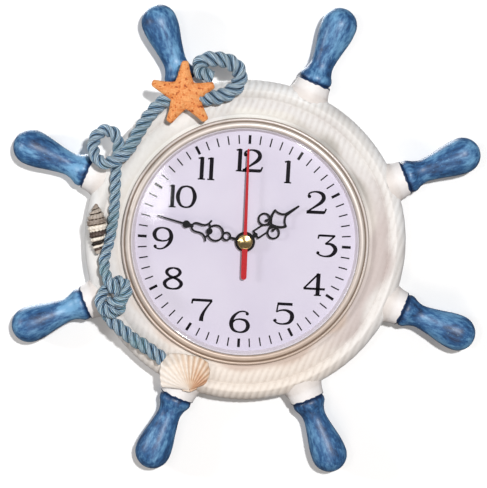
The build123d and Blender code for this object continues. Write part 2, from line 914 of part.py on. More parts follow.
def minute_arbor():
    wheel_back = layer(centre_layer)[0]
    pinion_back, pinion_front = layer(cannon_layer, motion_thickness)
    flange_back = wheel_back - seat_gap - minute_flange_thickness
    tube = disc(minute_tube_radius, flange_back, minute_hand_front + hand_seat_length)
    tube = tube + disc(minute_flange_radius, flange_back, wheel_back - seat_gap)
    tube = tube + gear(minute_pinion_teeth, motion_module, pinion_back, pinion_front, 0)
    return tube - disc(minute_bore, flange_back - overrun, minute_hand_front + hand_seat_length + overrun)


def clutch_spring():
    wheel_front = layer(centre_layer)[1]
    pinion_back = layer(cannon_layer, motion_thickness)[0]
    return ring(clutch_radius, minute_tube_radius + press_gap, wheel_front + seat_gap, pinion_back - seat_gap)


def motion_wheel():
    back, front = layer(cannon_layer, motion_thickness)
    wheel = gear(motion_teeth, motion_module, back, front, motion_phase, motion_place)
    for hole in spoke_holes(motion_teeth, motion_module, back, front, motion_place):
        wheel = wheel - hole
    pinion_front = layer(hour_layer, motion_thickness)[1]
    pinion = gear(motion_pinion_teeth, motion_module, front, pinion_front, 0, motion_place)
    return wheel + pinion + arbor(motion_place)


def hour_wheel():
    back, front = layer(hour_layer, motion_thickness)
    wheel = gear(hour_teeth, motion_module, back, front, hour_phase)
    wheel = wheel + disc(hour_pipe_radius, back, hour_hand_front + hand_seat_length)
    return wheel - disc(hour_bore, back - overrun, hour_hand_front + hand_seat_length + overrun)


def setting_knob():
    back = case_back - knob_stand_out
    front = back + knob_thickness
    knob = disc(knob_radius, back, front, knob_place)
    groove = disc(knob_groove_radius, back - overrun, front + overrun)
    for spot in PolarLocations(knob_radius, knob_groove_count):
        knob = knob - Pos(knob_place[0], knob_place[1], 0) * spot * groove
    pinion_back, pinion_front = layer(cannon_layer, motion_thickness)
    shaft = disc(knob_shaft_radius, front, pinion_back, knob_place)
    pivot = disc(arbor_radius, pinion_back, case_ceiling + pivot_depth - part_gap, knob_place)
    pinion = gear(knob_pinion_teeth, motion_module, pinion_back, pinion_front, knob_phase, knob_place)
    return knob + shaft + pivot + pinion


# Hands, drawn pointing up and then turned to the time

def stroke(points, width=hand_stroke):
    """Bar of constant width through a few points, with round joints and ends."""
    shape = Sketch()
    for start, end in zip(points, points[1:]):
        length = hypot(end[0] - start[0], end[1] - start[1])
        middle = Pos((start[0] + end[0]) / 2, (start[1] + end[1]) / 2)
        turn = Rot(0, 0, degrees(atan2(end[1] - start[1], end[0] - start[0])))
        shape = shape + middle * turn * Rectangle(length, width)
    for point in points:
        shape = shape + Pos(*point) * Circle(width / 2)
    return shape


def loop(x, y, radius):
    return Pos(x, y) * (Circle(radius) - Circle(radius - hand_stroke))


def taper(low, high, low_width, high_width):
    """Bar up the hand's axis, from one width to another."""
    corners = (
        (-low_width / 2, low),
        (low_width / 2, low),
        (high_width / 2, high),
        (-high_width / 2, high),
    )
    return make_face(Polyline(*corners, close=True)) + Pos(0, high) * Circle(high_width / 2)


def curve(points):
    """Smooth path through points, as short straight steps."""
    line = Spline(*points)
    steps = curve_steps * len(points)
    return [(p.X, p.Y) for p in (line @ (step / steps) for step in range(steps + 1))]


def hour_hand():
    length = hour_hand_length
    ring_y = hour_ring_place_share * length
    cross_y = hour_cross_share * length
    kite_y = hour_kite_share * length
    spike_y = hour_spike_share * length
    half = hand_stroke / 2
    frame_side = (hour_frame_width - hand_stroke) / 2
    frame_low = hub_radius + hand_stroke
    frame_high = ring_y - hour_ring_radius + hand_stroke
    shape = Circle(hub_radius) + stroke([(0, 0), (0, frame_low + half)], 2 * hand_stroke)
    shape = shape + stroke([(-frame_side, frame_low + half), (frame_side, frame_low + half)])
    for side in (-1, 1):
        x = side * hour_ring_side
        shape = shape + stroke([(side * frame_side, frame_low + half), (side * frame_side, frame_high), (0, cross_y)])
        shape = shape + loop(x, ring_y, hour_ring_radius)
        ball_x = x - side * (hour_ring_radius - hand_stroke) / 2
        shape = shape + Pos(ball_x, ring_y + half) * Circle(hour_ball_radius)
        shape = shape + stroke([(ball_x, ring_y + half), (ball_x, ring_y + hour_ring_radius - half)], hand_stroke)
        kite_x = side * hour_kite_side
        inward = (side * hour_kite_side * hour_kite_flare_share, (cross_y + kite_y) / 2 - hand_stroke)
        shape = shape + stroke(curve([(0, cross_y), inward, (kite_x, kite_y)]), hand_stroke * hour_kite_width_share)
        waist = (side * hour_kite_side * hour_kite_waist_share, (2 * kite_y + spike_y) / 3)
        shape = shape + stroke(curve([(kite_x, kite_y), waist, (0, spike_y)]))
    shape = shape + taper(spike_y - 2 * hand_stroke, hour_hand_length - spike_width / 2, 2 * hand_stroke, spike_width)
    shape = shape - Circle(hour_pipe_radius + press_gap)
    return slab(shape, hour_hand_back, hour_hand_front, hour_hand_angle)


def minute_hand():
    length = minute_hand_length
    small_y = minute_small_ring_share * length
    ring_y = minute_ring_share * length
    ball_y = minute_ball_share * length
    shape = Circle(minute_hub_radius)
    shape = shape + taper(0, small_y - minute_small_ring_radius + hand_stroke, 2 * hand_stroke, hand_stroke)
    shape = shape + loop(0, small_y, minute_small_ring_radius)
    shape = shape + loop(0, ring_y, minute_ring_radius)
    shape = shape + Pos(0, minute_leaf_share * length) * Circle(minute_leaf_radius)
    for side in (-1, 1):
        points = []
        for along, across in zip(minute_lyre_along_shares, minute_lyre_across_shares):
            points.append((side * across * minute_lyre_side, along * length))
        shape = shape + stroke(curve(points))
        foot = polar(minute_ring_radius - hand_stroke / 2, 90 - side * minute_lyre_foot_angle, (0, ring_y))
        shape = shape + stroke([foot, points[1]])
    lyre_top = minute_lyre_along_shares[-1] * length
    shape = shape + stroke([(0, lyre_top), (0, ball_y)], 2 * hand_stroke)
    shape = shape + Pos(0, ball_y) * Circle(minute_ball_radius)
    shape = shape + taper(ball_y, length - spike_tip_width / 2, spike_width, spike_tip_width)
    shape = shape - Circle(minute_tube_radius + press_gap)
    return slab(shape, minute_hand_back, minute_hand_front, minute_hand_angle)


def second_hand():
    shape = Circle(second_hub_radius)
    shape = shape + taper(0, second_hand_length - second_tip_width / 2, second_root_width, second_tip_width)
    shape = shape + stroke([(0, 0), (0, -second_tail_length + second_tail_width / 2)], second_tail_width)
    shape = shape - Circle(seconds_arbor_radius + press_gap)
    return slab(shape, second_hand_back, second_hand_front, second_hand_angle)


def second_cap():
    base = second_hand_front
    socket_top = base + hand_seat_length + part_gap
    bore = seconds_arbor_radius + press_gap
    rise = cap_height / 4
    return turned([
        Line((bore, base), (cap_radius, base)),
        Line((cap_radius, base), (cap_radius, base + rise)),
        Spline((cap_radius, base + rise), (cap_radius * 3 / 4, base + cap_height * 3 / 4), (0, base + cap_height), tangents=((0, 1), (-1, 0))),
        Line((0, base + cap_height), (0, socket_top)),
        Line((0, socket_top), (bore, socket_top)),
        Line((bore, socket_top), (bore, base)),
    ])


# Rope

rope_before_knot = [
    (-47.6, -77.1, 27.5),
    (-59.2, -69.6, 27.5),
    (-67.1, -65.6, 27.5),
]
rope_knot = [
    (-69.2, -64.0, 27.5),
    (-74.1, -60.3, 27.5),
    (-76.6, -58.4, 27.5),
    (-81.4, -54.6, 27.5),
    (-83.6, -52.5, 27.5),
    (-84.9, -49.7, 27.5),
    (-85.0, -46.7, 27.8),
    (-84.1, -44.0, 28.9),
    (-82.7, -42.3, 31.0),
    (-81.4, -41.7, 33.7),
    (-79.1, -41.4, 35.7),
    (-76.4, -40.4, 36.5),
    (-74.1, -38.3, 36.4),
    (-72.8, -35.6, 35.8),
    (-72.7, -32.8, 34.6),
    (-73.7, -30.4, 33.1),
    (-75.7, -28.9, 31.3),
    (-78.2, -28.6, 29.7),
    (-80.9, -29.4, 28.5),
    (-83.4, -31.2, 28.3),
    (-85.3, -33.4, 29.2),
    (-86.8, -35.6, 30.7),
    (-88.2, -37.9, 32.3),
    (-89.0, -40.4, 33.7),
    (-88.7, -43.3, 34.7),
    (-87.3, -46.0, 35.1),
    (-84.9, -47.9, 34.8),
    (-82.2, -48.8, 34.0),
    (-79.5, -48.5, 32.5),
    (-77.3, -46.9, 31.1),
    (-75.9, -44.5, 30.0),
    (-75.6, -41.5, 29.4),
    (-76.4, -38.6, 29.5),
    (-77.9, -36.2, 30.8),
    (-79.4, -34.8, 33.0),
    (-81.0, -32.8, 34.8),
    (-82.8, -30.5, 35.4),
    (-84.5, -28.0, 34.8),
    (-85.9, -25.4, 33.8),
    (-87.0, -22.7, 32.8),
    (-87.6, -19.9, 31.9),
    (-87.8, -17.0, 30.9),
    (-87.7, -14.0, 30.0),
    (-87.2, -11.1, 29.1),
    (-86.6, -8.2, 28.3),
    (-85.8, -5.4, 27.5),
]
rope_after_knot = [
    (-84.0, 6.0, 27.5),
    (-83.3, 18.5, 27.5),
    (-83.6, 34.1, 27.5),
    (-83.6, 45.2, 27.5),
    (-82.6, 53.6, 27.5),
    (-83.2, 60.4, 27.5),
    (-87.0, 65.4, 27.5),
    (-92.6, 66.0, 27.5),
    (-97.4, 62.0, 27.6),
    (-99.0, 55.4, 28.4),
    (-97.0, 49.2, 30.2),
    (-92.2, 45.2, 33.0),
    (-85.6, 46.2, 35.0),
    (-79.2, 50.4, 34.6),
    (-74.2, 57.4, 31.4),
    (-70.2, 66.5, 28.3),
    (-64.8, 76.3, 27.5),
    (-57.0, 85.6, 27.5),
    (-48.3, 90.2, 27.5),
    (-38.4, 90.3, 27.5),
    (-28.0, 89.3, 27.5),
    (-17.4, 91.6, 27.5),
    (-9.0, 98.6, 27.5),
    (-8.8, 107.6, 27.5),
    (-15.4, 113.2, 27.5),
    (-24.4, 114.3, 27.5),
    (-31.0, 113.5, 27.5),
    (-34.0, 111.6, 27.5),
    (-35.0, 108.9, 27.5),
    (-34.4, 106.1, 27.5),
    (-31.9, 104.1, 27.5),
    (-25.8, 102.6, 27.5),
]


def rope_points():
    return rope_before_knot + rope_knot + rope_after_knot


def bend_radii(points):
    """Radius at each inner point: 0.45 of the shorter run, over the tangent of half the turn."""
    radii = []
    for before, point, after in zip(points, points[1:], points[2:]):
        first = Vector(*point) - Vector(*before)
        second = Vector(*after) - Vector(*point)
        half_turn = radians(first.get_angle(second)) / 2
        radii.append(bend_share * min(first.length, second.length) / tan(half_turn))
    return radii


def self_gap(line, spacing):
    """Least gap between parts of the rope that are further apart along it than a turn."""
    count = int(line.length / spacing)
    spots = [line @ (step / count) for step in range(count + 1)]
    skip = int(4 * rope_radius / spacing) + 1
    least = min((a - b).length for i, a in enumerate(spots) for b in spots[i + skip:])
    return least - 2 * rope_radius


def rope():
    points = rope_points()
    radii = bend_radii(points)
    line = FilletPolyline(*points, radius=radii)
    section = Plane(origin=line @ 0, z_dir=line % 0) * Circle(rope_radius)
    solid = sweep(section, path=line)
    swept = pi * rope_radius ** 2 * line.length
    print("rope length", round(line.length, 1), "radii", [round(radius, 1) for radius in radii])
    print("rope volume over section times length", round(solid.volume / swept, 4))
    print("rope least gap to itself", round(self_gap(line, rope_radius / 4), 2))
    return solid


# Starfish and shells

def starfish():
    floor = rope_height + rope_radius + star_gap
    middle = star_root_radius * star_flatness_share
    star = Pos(0, 0, floor) * Sphere(star_root_radius)
    for angle, share in zip(star_arm_angles, star_arm_shares):
        reach = star_arm_length * share - star_tip_radius
        start = star_root_place_share * star_arm_length
        arm = Cone(star_root_radius * (1 - star_root_place_share), star_tip_radius, reach - start)
        arm = Pos(0, 0, (reach + start) / 2) * arm + Pos(0, 0, reach) * Sphere(star_tip_radius)
        lean = Plane(origin=(0, 0, floor), z_dir=(sin(radians(angle)), cos(radians(angle)), 0))
        star = star + lean * arm
    keep = star_arm_length * 2
    star = star & block(-keep, keep, -keep, keep, floor, floor + middle)
    return Pos(star_x, star_y, 0) * star


def whelk_shell():
    height = outer_band_height + whelk_gap + whelk_radius
    outline = [Line((0, 0), (whelk_tip_radius, 0))]
    last = (whelk_tip_radius, 0)
    for share, place in zip(whelk_whorl_shares, whelk_whorl_place_shares):
        end = (share * whelk_radius * whelk_suture_share, place * whelk_length)
        bulge = (max(last[0], share * whelk_radius), (last[1] + end[1]) / 2)
        outline.append(ThreePointArc(last, bulge, end))
        last = end
    body = (whelk_radius, whelk_body_share * whelk_length)
    foot = (whelk_canal_radius, whelk_length)
    waist = ((whelk_radius + 2 * whelk_canal_radius) / 3, (body[1] + 2 * foot[1]) / 3)
    outline.append(Spline(last, body, waist, foot))
    outline.append(Line(foot, (0, whelk_length)))
    outline.append(Line((0, whelk_length), (0, 0)))
    shell = turned(outline)
    lay = Plane(origin=(whelk_x, whelk_top_y, height), z_dir=(sin(radians(whelk_tilt)), -cos(radians(whelk_tilt)), 0))
    return lay * shell


def scallop_shell():
    floor = outer_band_height + scallop_gap
    step = scallop_spread_angle / scallop_rib_count
    half_count = (scallop_rib_count - 1) / 2
    shell = disc(2 * scallop_hinge_radius, floor, floor + scallop_hinge_height)
    for index in range(scallop_rib_count):
        offset = (index - half_count) / half_count
        length = scallop_height * (1 - (1 - scallop_side_share) * offset ** 2)
        rib_radius = scallop_rib_share * length * sin(radians(step / 2))
        direction = radians(scallop_direction + offset * half_count * step)
        fall = scallop_hinge_height - scallop_hinge_radius - scallop_edge_height
        axis = Vector(length * cos(direction), length * sin(direction), -fall)
        start = floor + scallop_hinge_height - scallop_hinge_radius
        rib = Cone(scallop_hinge_radius, rib_radius, axis.length, align=(Align.CENTER, Align.CENTER, Align.MIN))
        shell = shell + Plane(origin=(0, 0, start), z_dir=axis) * rib
    keep = scallop_height * 2
    shell = shell & block(-keep, keep, -keep, keep, floor, floor + keep)
    return Pos(scallop_x, scallop_y, 0) * shell


pieces = {
    "wheel_rim": wheel_rim,
    "rope": rope,
    "starfish": starfish,
    "whelk_shell": whelk_shell,
    "scallop_shell": scallop_shell,
    "hanger_plate": hanger_plate,
    "hanger_screws": hanger_screws,
    "insert_housing": insert_housing,
    "grip_ring": grip_ring,
    "bezel": bezel,
    "lens": lens,
    "dial": dial,
    "dial_spacer_ring": dial_spacer_ring,
    "movement_front_case": movement_front_case,
    "movement_rear_cover": movement_rear_cover,
    "dial_washer": dial_washer,
    "mounting_nut": mounting_nut,
    "battery": battery,
    "battery_contact_plus": battery_contact_plus,
    "battery_contact_minus": battery_contact_minus,
    "circuit_board": circuit_board,
    "stator": stator,
    "coil_bobbin": coil_bobbin,
    "coil_winding": coil_winding,
    "rotor": rotor,
    "intermediate_wheel": intermediate_wheel,
    "seconds_wheel": seconds_wheel,
    "third_wheel": third_wheel,
    "centre_wheel": centre_wheel,
    "clutch_spring": clutch_spring,
    "minute_arbor": minute_arbor,
    "motion_wheel": motion_wheel,
    "hour_wheel": hour_wheel,
    "setting_knob": setting_knob,
    "hour_hand": hour_hand,
    "minute_hand": minute_hand,
    "second_hand": second_hand,
    "second_cap": second_cap,
}

on_the_wall = Plane(origin=(0, 0, -hang_drop), x_dir=(1, 0, 0), z_dir=(0, -1, 0))
os.makedirs("parts", exist_ok=True)
for name, build_piece in pieces.items():
    export_step(on_the_wall * build_piece(), f"parts/{name}.step")
for index in range(handle_count):
    export_step(on_the_wall * handle(index), f"parts/handle_{index + 1}.step")
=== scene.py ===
import functools
from math import atan2, cos, degrees, exp, hypot, pi, radians, sin, sqrt

import bpy
import numpy as np
from mathutils import Matrix, Vector, noise


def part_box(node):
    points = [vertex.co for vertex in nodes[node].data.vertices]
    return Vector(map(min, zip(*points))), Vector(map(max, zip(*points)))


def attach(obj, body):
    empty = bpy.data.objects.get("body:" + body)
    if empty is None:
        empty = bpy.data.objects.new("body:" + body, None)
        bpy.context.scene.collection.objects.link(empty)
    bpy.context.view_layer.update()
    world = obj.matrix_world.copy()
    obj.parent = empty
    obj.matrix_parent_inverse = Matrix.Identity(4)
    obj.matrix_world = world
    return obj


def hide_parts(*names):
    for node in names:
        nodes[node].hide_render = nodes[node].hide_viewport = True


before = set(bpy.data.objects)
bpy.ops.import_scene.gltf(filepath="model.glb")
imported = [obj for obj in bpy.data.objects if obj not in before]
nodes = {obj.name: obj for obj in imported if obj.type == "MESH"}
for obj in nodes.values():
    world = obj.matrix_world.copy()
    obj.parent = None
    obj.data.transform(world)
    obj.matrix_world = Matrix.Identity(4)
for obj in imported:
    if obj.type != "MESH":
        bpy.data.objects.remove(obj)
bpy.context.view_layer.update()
scene = bpy.context.scene
scene.view_settings.view_transform = "Standard"
print("frame loaded:", len(nodes), "nodes")

mm = 0.001
hangerDrop = 87.0  # the frame starts at the hanger's hole, this far above the dial's centre


# Sizes below are drawn as the clock is looked at: x right, y up, z out from the wall, in mm from the dial's centre

def toFrame(points):
    points = np.asarray(points, float).reshape(-1, 3)
    return np.stack((points[:, 0], -points[:, 2], points[:, 1] - hangerDrop), 1) * mm


def clockwise(radius, degreesFromTop):
    turn = radians(degreesFromTop)
    return radius * sin(turn), radius * cos(turn)


def smoothStep(low, high, value):
    share = np.clip((np.asarray(value, float) - low) / (high - low), 0, 1)
    return share * share * (3 - 2 * share)


# Mesh helpers

def gridFaces(rows, columns, closed):
    row, column = meshGrid(np.arange(rows - 1), np.arange(columns if closed else columns - 1))
    here, after = row * columns + column, row * columns + (column + 1) % columns
    return np.stack((here, after, after + columns, here + columns), 2).reshape(-1, 4).tolist()


def makeMesh(name, points, faces, material, smooth=True, shares=None, uv=None, colours=None):
    mesh = bpy.data.meshes.new(name)
    mesh.from_pydata(np.asarray(points, float).tolist(), [], faces)
    for key, values in (shares or {}).items():  # a value for each point, which the material reads by name
        mesh.attributes.new(key, "FLOAT", "POINT").data.foreach_set("value", np.asarray(values, np.float32).ravel())
    if uv is not None:
        corners = np.zeros(len(mesh.loops), np.int32)
        mesh.loops.foreach_get("vertex_index", corners)
        mesh.uv_layers.new(name="lay").data.foreach_set("uv", np.asarray(uv, np.float32)[corners].ravel())
    for key, values in (colours or {}).items():
        mesh.attributes.new(key, "FLOAT_COLOR", "POINT").data.foreach_set("color", np.asarray(values, np.float32).ravel())
    mesh.polygons.foreach_set("use_smooth", [smooth] * len(mesh.polygons))
    mesh.materials.append(material)
    mesh.update()
    piece = bpy.data.objects.new(name, mesh)
    scene.collection.objects.link(piece)
    return piece


def around(steps):
    return np.linspace(0, 2 * pi, steps, endpoint=False)


def turnedPoints(profile, steps):
    # a profile of (radius, height) turned round the dial's axis, from the top, clockwise
    turn = around(steps)
    radius, height = np.array(profile, float).T[:, :, None]
    height = height + 0 * turn
    return np.stack((radius * np.sin(turn), radius * np.cos(turn), height), 2).reshape(-1, 3)


def makeTurned(name, profile, steps, material, **shares):
    faces = gridFaces(len(profile), steps, True)
    return makeMesh(name, toFrame(turnedPoints(profile, steps)), faces, material, shares=shares)


def bell(value, middle, width):
    return np.exp(-((value - middle) / width) ** 2)


def arcThrough(start, middle, end, steps):
    (ax, ay), (bx, by), (cx, cy) = start, middle, end
    d = 2 * (ax * (by - cy) + bx * (cy - ay) + cx * (ay - by))
    ux = ((ax**2 + ay**2) * (by - cy) + (bx**2 + by**2) * (cy - ay) + (cx**2 + cy**2) * (ay - by)) / d
    uy = ((ax**2 + ay**2) * (cx - bx) + (bx**2 + by**2) * (ax - cx) + (cx**2 + cy**2) * (bx - ax)) / d
    angles = np.unwrap([atan2(y - uy, x - ux) for x, y in (start, middle, end)])
    reach = hypot(ax - ux, ay - uy)
    return [(ux + reach * cos(a), uy + reach * sin(a)) for a in np.linspace(angles[0], angles[2], steps)]


def smoothThrough(points, steps):
    # a smooth line through rows of numbers, with steps between each two
    rows = np.asarray(points, float)
    rows = np.vstack((2 * rows[0] - rows[1], rows, 2 * rows[-1] - rows[-2]))
    out = []
    for a, b, c, d in zip(rows, rows[1:], rows[2:], rows[3:]):
        for t in np.arange(steps) / steps:
            out.append(0.5 * (2 * b + (c - a) * t + (2 * a - 5 * b + 4 * c - d) * t**2 + (3 * b - a - 3 * c + d) * t**3))
    return np.array(out + [rows[-2]])


def shifted(faces, start):
    return [tuple(start + i for i in face) for face in faces]


def meshGrid(rows, columns):
    return np.meshgrid(rows, columns, indexing="ij")


def capEnds(faces, rows, columns):
    return faces + [tuple(range(columns))[::-1], tuple(range((rows - 1) * columns, rows * columns))]


# Material helpers

def linear(hexColour, alpha=1.0):
    parts = [int(hexColour[i:i + 2], 16) / 255 for i in (1, 3, 5)]
    return [p / 12.92 if p <= 0.04045 else ((p + 0.055) / 1.055) ** 2.4 for p in parts] + [alpha]


def feed(node, inputs):
    # gives a node's inputs a value, a hex colour, or what another node or socket puts out
    for socket, value in inputs.items():
        if isinstance(value, bpy.types.Node):
            value = value.outputs[0]
        if isinstance(value, bpy.types.NodeSocket):
            node.id_data.links.new(value, node.inputs[socket])
        else:
            node.inputs[socket].default_value = linear(value) if isinstance(value, str) else value


def addNode(tree, kind, inputs=None, stops=None, **settings):
    node = tree.nodes.new("ShaderNode" + kind)
    for name, value in settings.items():
        setattr(node, name, value)
    feed(node, inputs or {})
    if stops:
        ramp = node.color_ramp
        while len(ramp.elements) < len(stops):
            ramp.elements.new(0.5)
        for element, (at, colour) in zip(ramp.elements, stops):
            element.position = at
            element.color = linear(colour) if isinstance(colour, str) else (colour, colour, colour, 1)
    return node


def newMaterial(name, **inputs):
    material = bpy.data.materials.new(name)
    material.use_nodes = True
    tree = material.node_tree
    shader = tree.nodes["Principled BSDF"]
    feed(shader, {socket.replace("_", " "): value for socket, value in inputs.items()})
    add = functools.partial(addNode, tree)
    return material, add, shader, add("TexCoord").outputs["Object"]


# Camera: the clock is seen from a little above, and the whole picture is turned by its roll

camera = dict(
    aim=(-0.9, -1.7, 20.0),  # what stands in the middle of the picture, mm
    distance=1250.0,  # mm
    above=5.0,  # degrees
    roll=3.2,
    frameHeight=309.9,  # mm seen from top to bottom at the dial
)
cameraData = bpy.data.cameras.new("camera")
cameraObject = bpy.data.objects.new("camera", cameraData)
scene.collection.objects.link(cameraObject)
scene.camera = cameraObject
above = radians(camera["above"])
lookBack = Vector((0, -cos(above), sin(above)))
cameraObject.location = Vector(toFrame(camera["aim"])[0]) + lookBack * camera["distance"] * mm
cameraObject.rotation_mode = "QUATERNION"
rollTurn = Matrix.Rotation(radians(camera["roll"]), 3, "Z").to_quaternion()
cameraObject.rotation_quaternion = (-lookBack).to_track_quat("-Z", "Y") @ rollTurn
cameraData.sensor_width = 36
cameraData.lens = 36 * camera["distance"] / camera["frameHeight"]
cameraData.clip_start, cameraData.clip_end = 0.05, 50
print("camera set")


# Rope: dyed cotton, three strands laid to the right. The route repeats the model's own points.

rope = dict(
    beforeKnot=[
        (-47.6, -77.1, 27.5), (-59.2, -69.6, 27.5), (-67.1, -65.6, 27.5),
    ],
    knot=[
        (-69.2, -64.0, 27.5), (-74.1, -60.3, 27.5), (-76.6, -58.4, 27.5), (-81.4, -54.6, 27.5), (-83.6, -52.5, 27.5),
        (-84.9, -49.7, 27.5), (-85.0, -46.7, 27.8), (-84.1, -44.0, 28.9), (-82.7, -42.3, 31.0), (-81.4, -41.7, 33.7),
        (-79.1, -41.4, 35.7), (-76.4, -40.4, 36.5), (-74.1, -38.3, 36.4), (-72.8, -35.6, 35.8), (-72.7, -32.8, 34.6),
        (-73.7, -30.4, 33.1), (-75.7, -28.9, 31.3), (-78.2, -28.6, 29.7), (-80.9, -29.4, 28.5), (-83.4, -31.2, 28.3),
        (-85.3, -33.4, 29.2), (-86.8, -35.6, 30.7), (-88.2, -37.9, 32.3), (-89.0, -40.4, 33.7), (-88.7, -43.3, 34.7),
        (-87.3, -46.0, 35.1), (-84.9, -47.9, 34.8), (-82.2, -48.8, 34.0), (-79.5, -48.5, 32.5), (-77.3, -46.9, 31.1),
        (-75.9, -44.5, 30.0), (-75.6, -41.5, 29.4), (-76.4, -38.6, 29.5), (-77.9, -36.2, 30.8), (-79.4, -34.8, 33.0),
        (-81.0, -32.8, 34.8), (-82.8, -30.5, 35.4), (-84.5, -28.0, 34.8), (-85.9, -25.4, 33.8), (-87.0, -22.7, 32.8),
        (-87.6, -19.9, 31.9), (-87.8, -17.0, 30.9), (-87.7, -14.0, 30.0), (-87.2, -11.1, 29.1), (-86.6, -8.2, 28.3),
        (-85.8, -5.4, 27.5),
    ],
    afterKnot=[
        (-84.0, 6.0, 27.5), (-83.3, 18.5, 27.5), (-83.6, 34.1, 27.5), (-83.6, 45.2, 27.5), (-82.6, 53.6, 27.5),
        (-83.2, 60.4, 27.5), (-87.0, 65.4, 27.5), (-92.6, 66.0, 27.5), (-97.4, 62.0, 27.6), (-99.0, 55.4, 28.4),
        (-97.0, 49.2, 30.2), (-92.2, 45.2, 33.0), (-85.6, 46.2, 35.0), (-79.2, 50.4, 34.6), (-74.2, 57.4, 31.4),
        (-70.2, 66.5, 28.3), (-64.8, 76.3, 27.5), (-57.0, 85.6, 27.5), (-48.3, 90.2, 27.5), (-38.4, 90.3, 27.5),
        (-28.0, 89.3, 27.5), (-17.4, 91.6, 27.5), (-9.0, 98.6, 27.5), (-8.8, 107.6, 27.5), (-15.4, 113.2, 27.5),
        (-24.4, 114.3, 27.5), (-31.0, 113.5, 27.5), (-34.0, 111.6, 27.5), (-35.0, 108.9, 27.5), (-34.4, 106.1, 27.5),
        (-31.9, 104.1, 27.5), (-25.8, 102.6, 27.5),
    ],
    # how thick the rope is along its length: share of the length, radius in mm
    thickness=[
        (0, 4.6), (0.08, 4.4), (0.12, 3.9), (0.36, 3.7), (0.42, 3.6), (0.51, 3.7), (0.55, 4.1), (0.64, 4.1),
        (0.69, 4.3), (0.77, 4.5), (0.82, 5.0), (0.95, 5.1), (1, 4.6),
    ],
    modelRadius=3.2,
    layLength=19.5,  # mm for one full turn of a strand
    strandShare=0.52,  # a strand's radius as a share of the rope's
    step=0.55,  # mm along the rope
    sides=14,
    yarnSpacing=1.6,  # mm; real yarns are nearer 0.8 mm, drawn coarser so that they show
    dark="#14293A",
    mid="#6591BA",
    light="#DCF2FF",
    green="#80B0B0",
)


def dyedCottonRope():
    # cotton yarn, dyed after twisting: matte, soft sheen; painted highlight on the strands, painted shade between them
    material, add, shader, spot = newMaterial(
        "Dyed cotton rope", Roughness=0.85, Sheen_Weight=0.25, Sheen_Roughness=0.5, Sheen_Tint="#C8DCE6")
    lay = add("UVMap", uv_map="lay")
    slant = add("Mapping", {"Vector": lay, "Rotation": (0, 0, radians(-28))})
    yarns = add("TexWave", {
        "Vector": slant, "Scale": 0.314 / rope["yarnSpacing"], "Distortion": 1.6, "Detail": 2.0, "Detail Scale": 2.5,
    }, bands_direction="Y")
    fibre = add("TexNoise", {"Vector": spot, "Scale": 1600.0, "Detail": 3.0})
    patches = add("TexNoise", {"Vector": spot, "Scale": 70.0, "Detail": 2.0})
    crestPaintedLight = add("Attribute", attribute_name="crestPaintedLight")
    height = crestPaintedLight.outputs["Fac"]
    level = add("Math", {0: height, 1: yarns.outputs["Fac"], 2: height}, operation="MULTIPLY_ADD")
    spread = add("Math", {0: level, 1: 0.55}, operation="MULTIPLY")
    # painted shade down between the strands and a painted highlight on their crests, broken up by the yarns
    tone = add("ValToRGB", {"Fac": spread}, [
        (0.0, "#0C161F"), (0.28, rope["dark"]), (0.49, rope["mid"]), (0.8, rope["light"]),
    ])
    hue = add("ValToRGB", {"Fac": patches}, [(0.45, 0.0), (0.65, 1.0)])
    split = add("SeparateXYZ", {"Vector": spot})
    lower = add("MapRange", {"Value": split.outputs["Z"], 1: 0.0, 2: -0.15, 3: 0.18, 4: 0.44})  # greener further down
    hueShare = add("Math", {0: hue, 1: lower}, operation="MULTIPLY")
    feed(shader, {"Base Color": add("MixRGB", {"Fac": hueShare, "Color1": tone, "Color2": rope["green"]})})
    rough = add("Math", {0: fibre, 1: 0.5, 2: yarns.outputs["Fac"]}, operation="MULTIPLY_ADD")
    feed(shader, {"Normal": add("Bump", {"Height": rough, "Distance": 0.8 * mm})})
    return material


def ropeRoute():
    points = rope["beforeKnot"] + rope["knot"] + rope["afterKnot"]
    curve = bpy.data.curves.new("ropeRoute", "CURVE")
    curve.dimensions = "3D"
    spline = curve.splines.new("NURBS")
    spline.points.add(len(points) - 1)
    for spot, point in zip(spline.points, toFrame(points)):
        spot.co = (*point, 1)
    spline.order_u = 3
    spline.use_endpoint_u = True
    spline.resolution_u = 10
    holder = bpy.data.objects.new("ropeRoute", curve)
    scene.collection.objects.link(holder)
    line = bpy.data.meshes.new_from_object(holder)
    route = np.array([v.co[:] for v in line.vertices]) / mm
    bpy.data.objects.remove(holder)
    bpy.data.meshes.remove(line)
    return route  # frame directions, in mm


def evenly(line, step):
    along = np.concatenate(([0], np.cumsum(np.linalg.norm(np.diff(line, axis=0), axis=1))))
    wanted = np.linspace(0, along[-1], int(along[-1] / step) + 1)
    return np.stack([np.interp(wanted, along, line[:, i]) for i in range(3)], 1), wanted


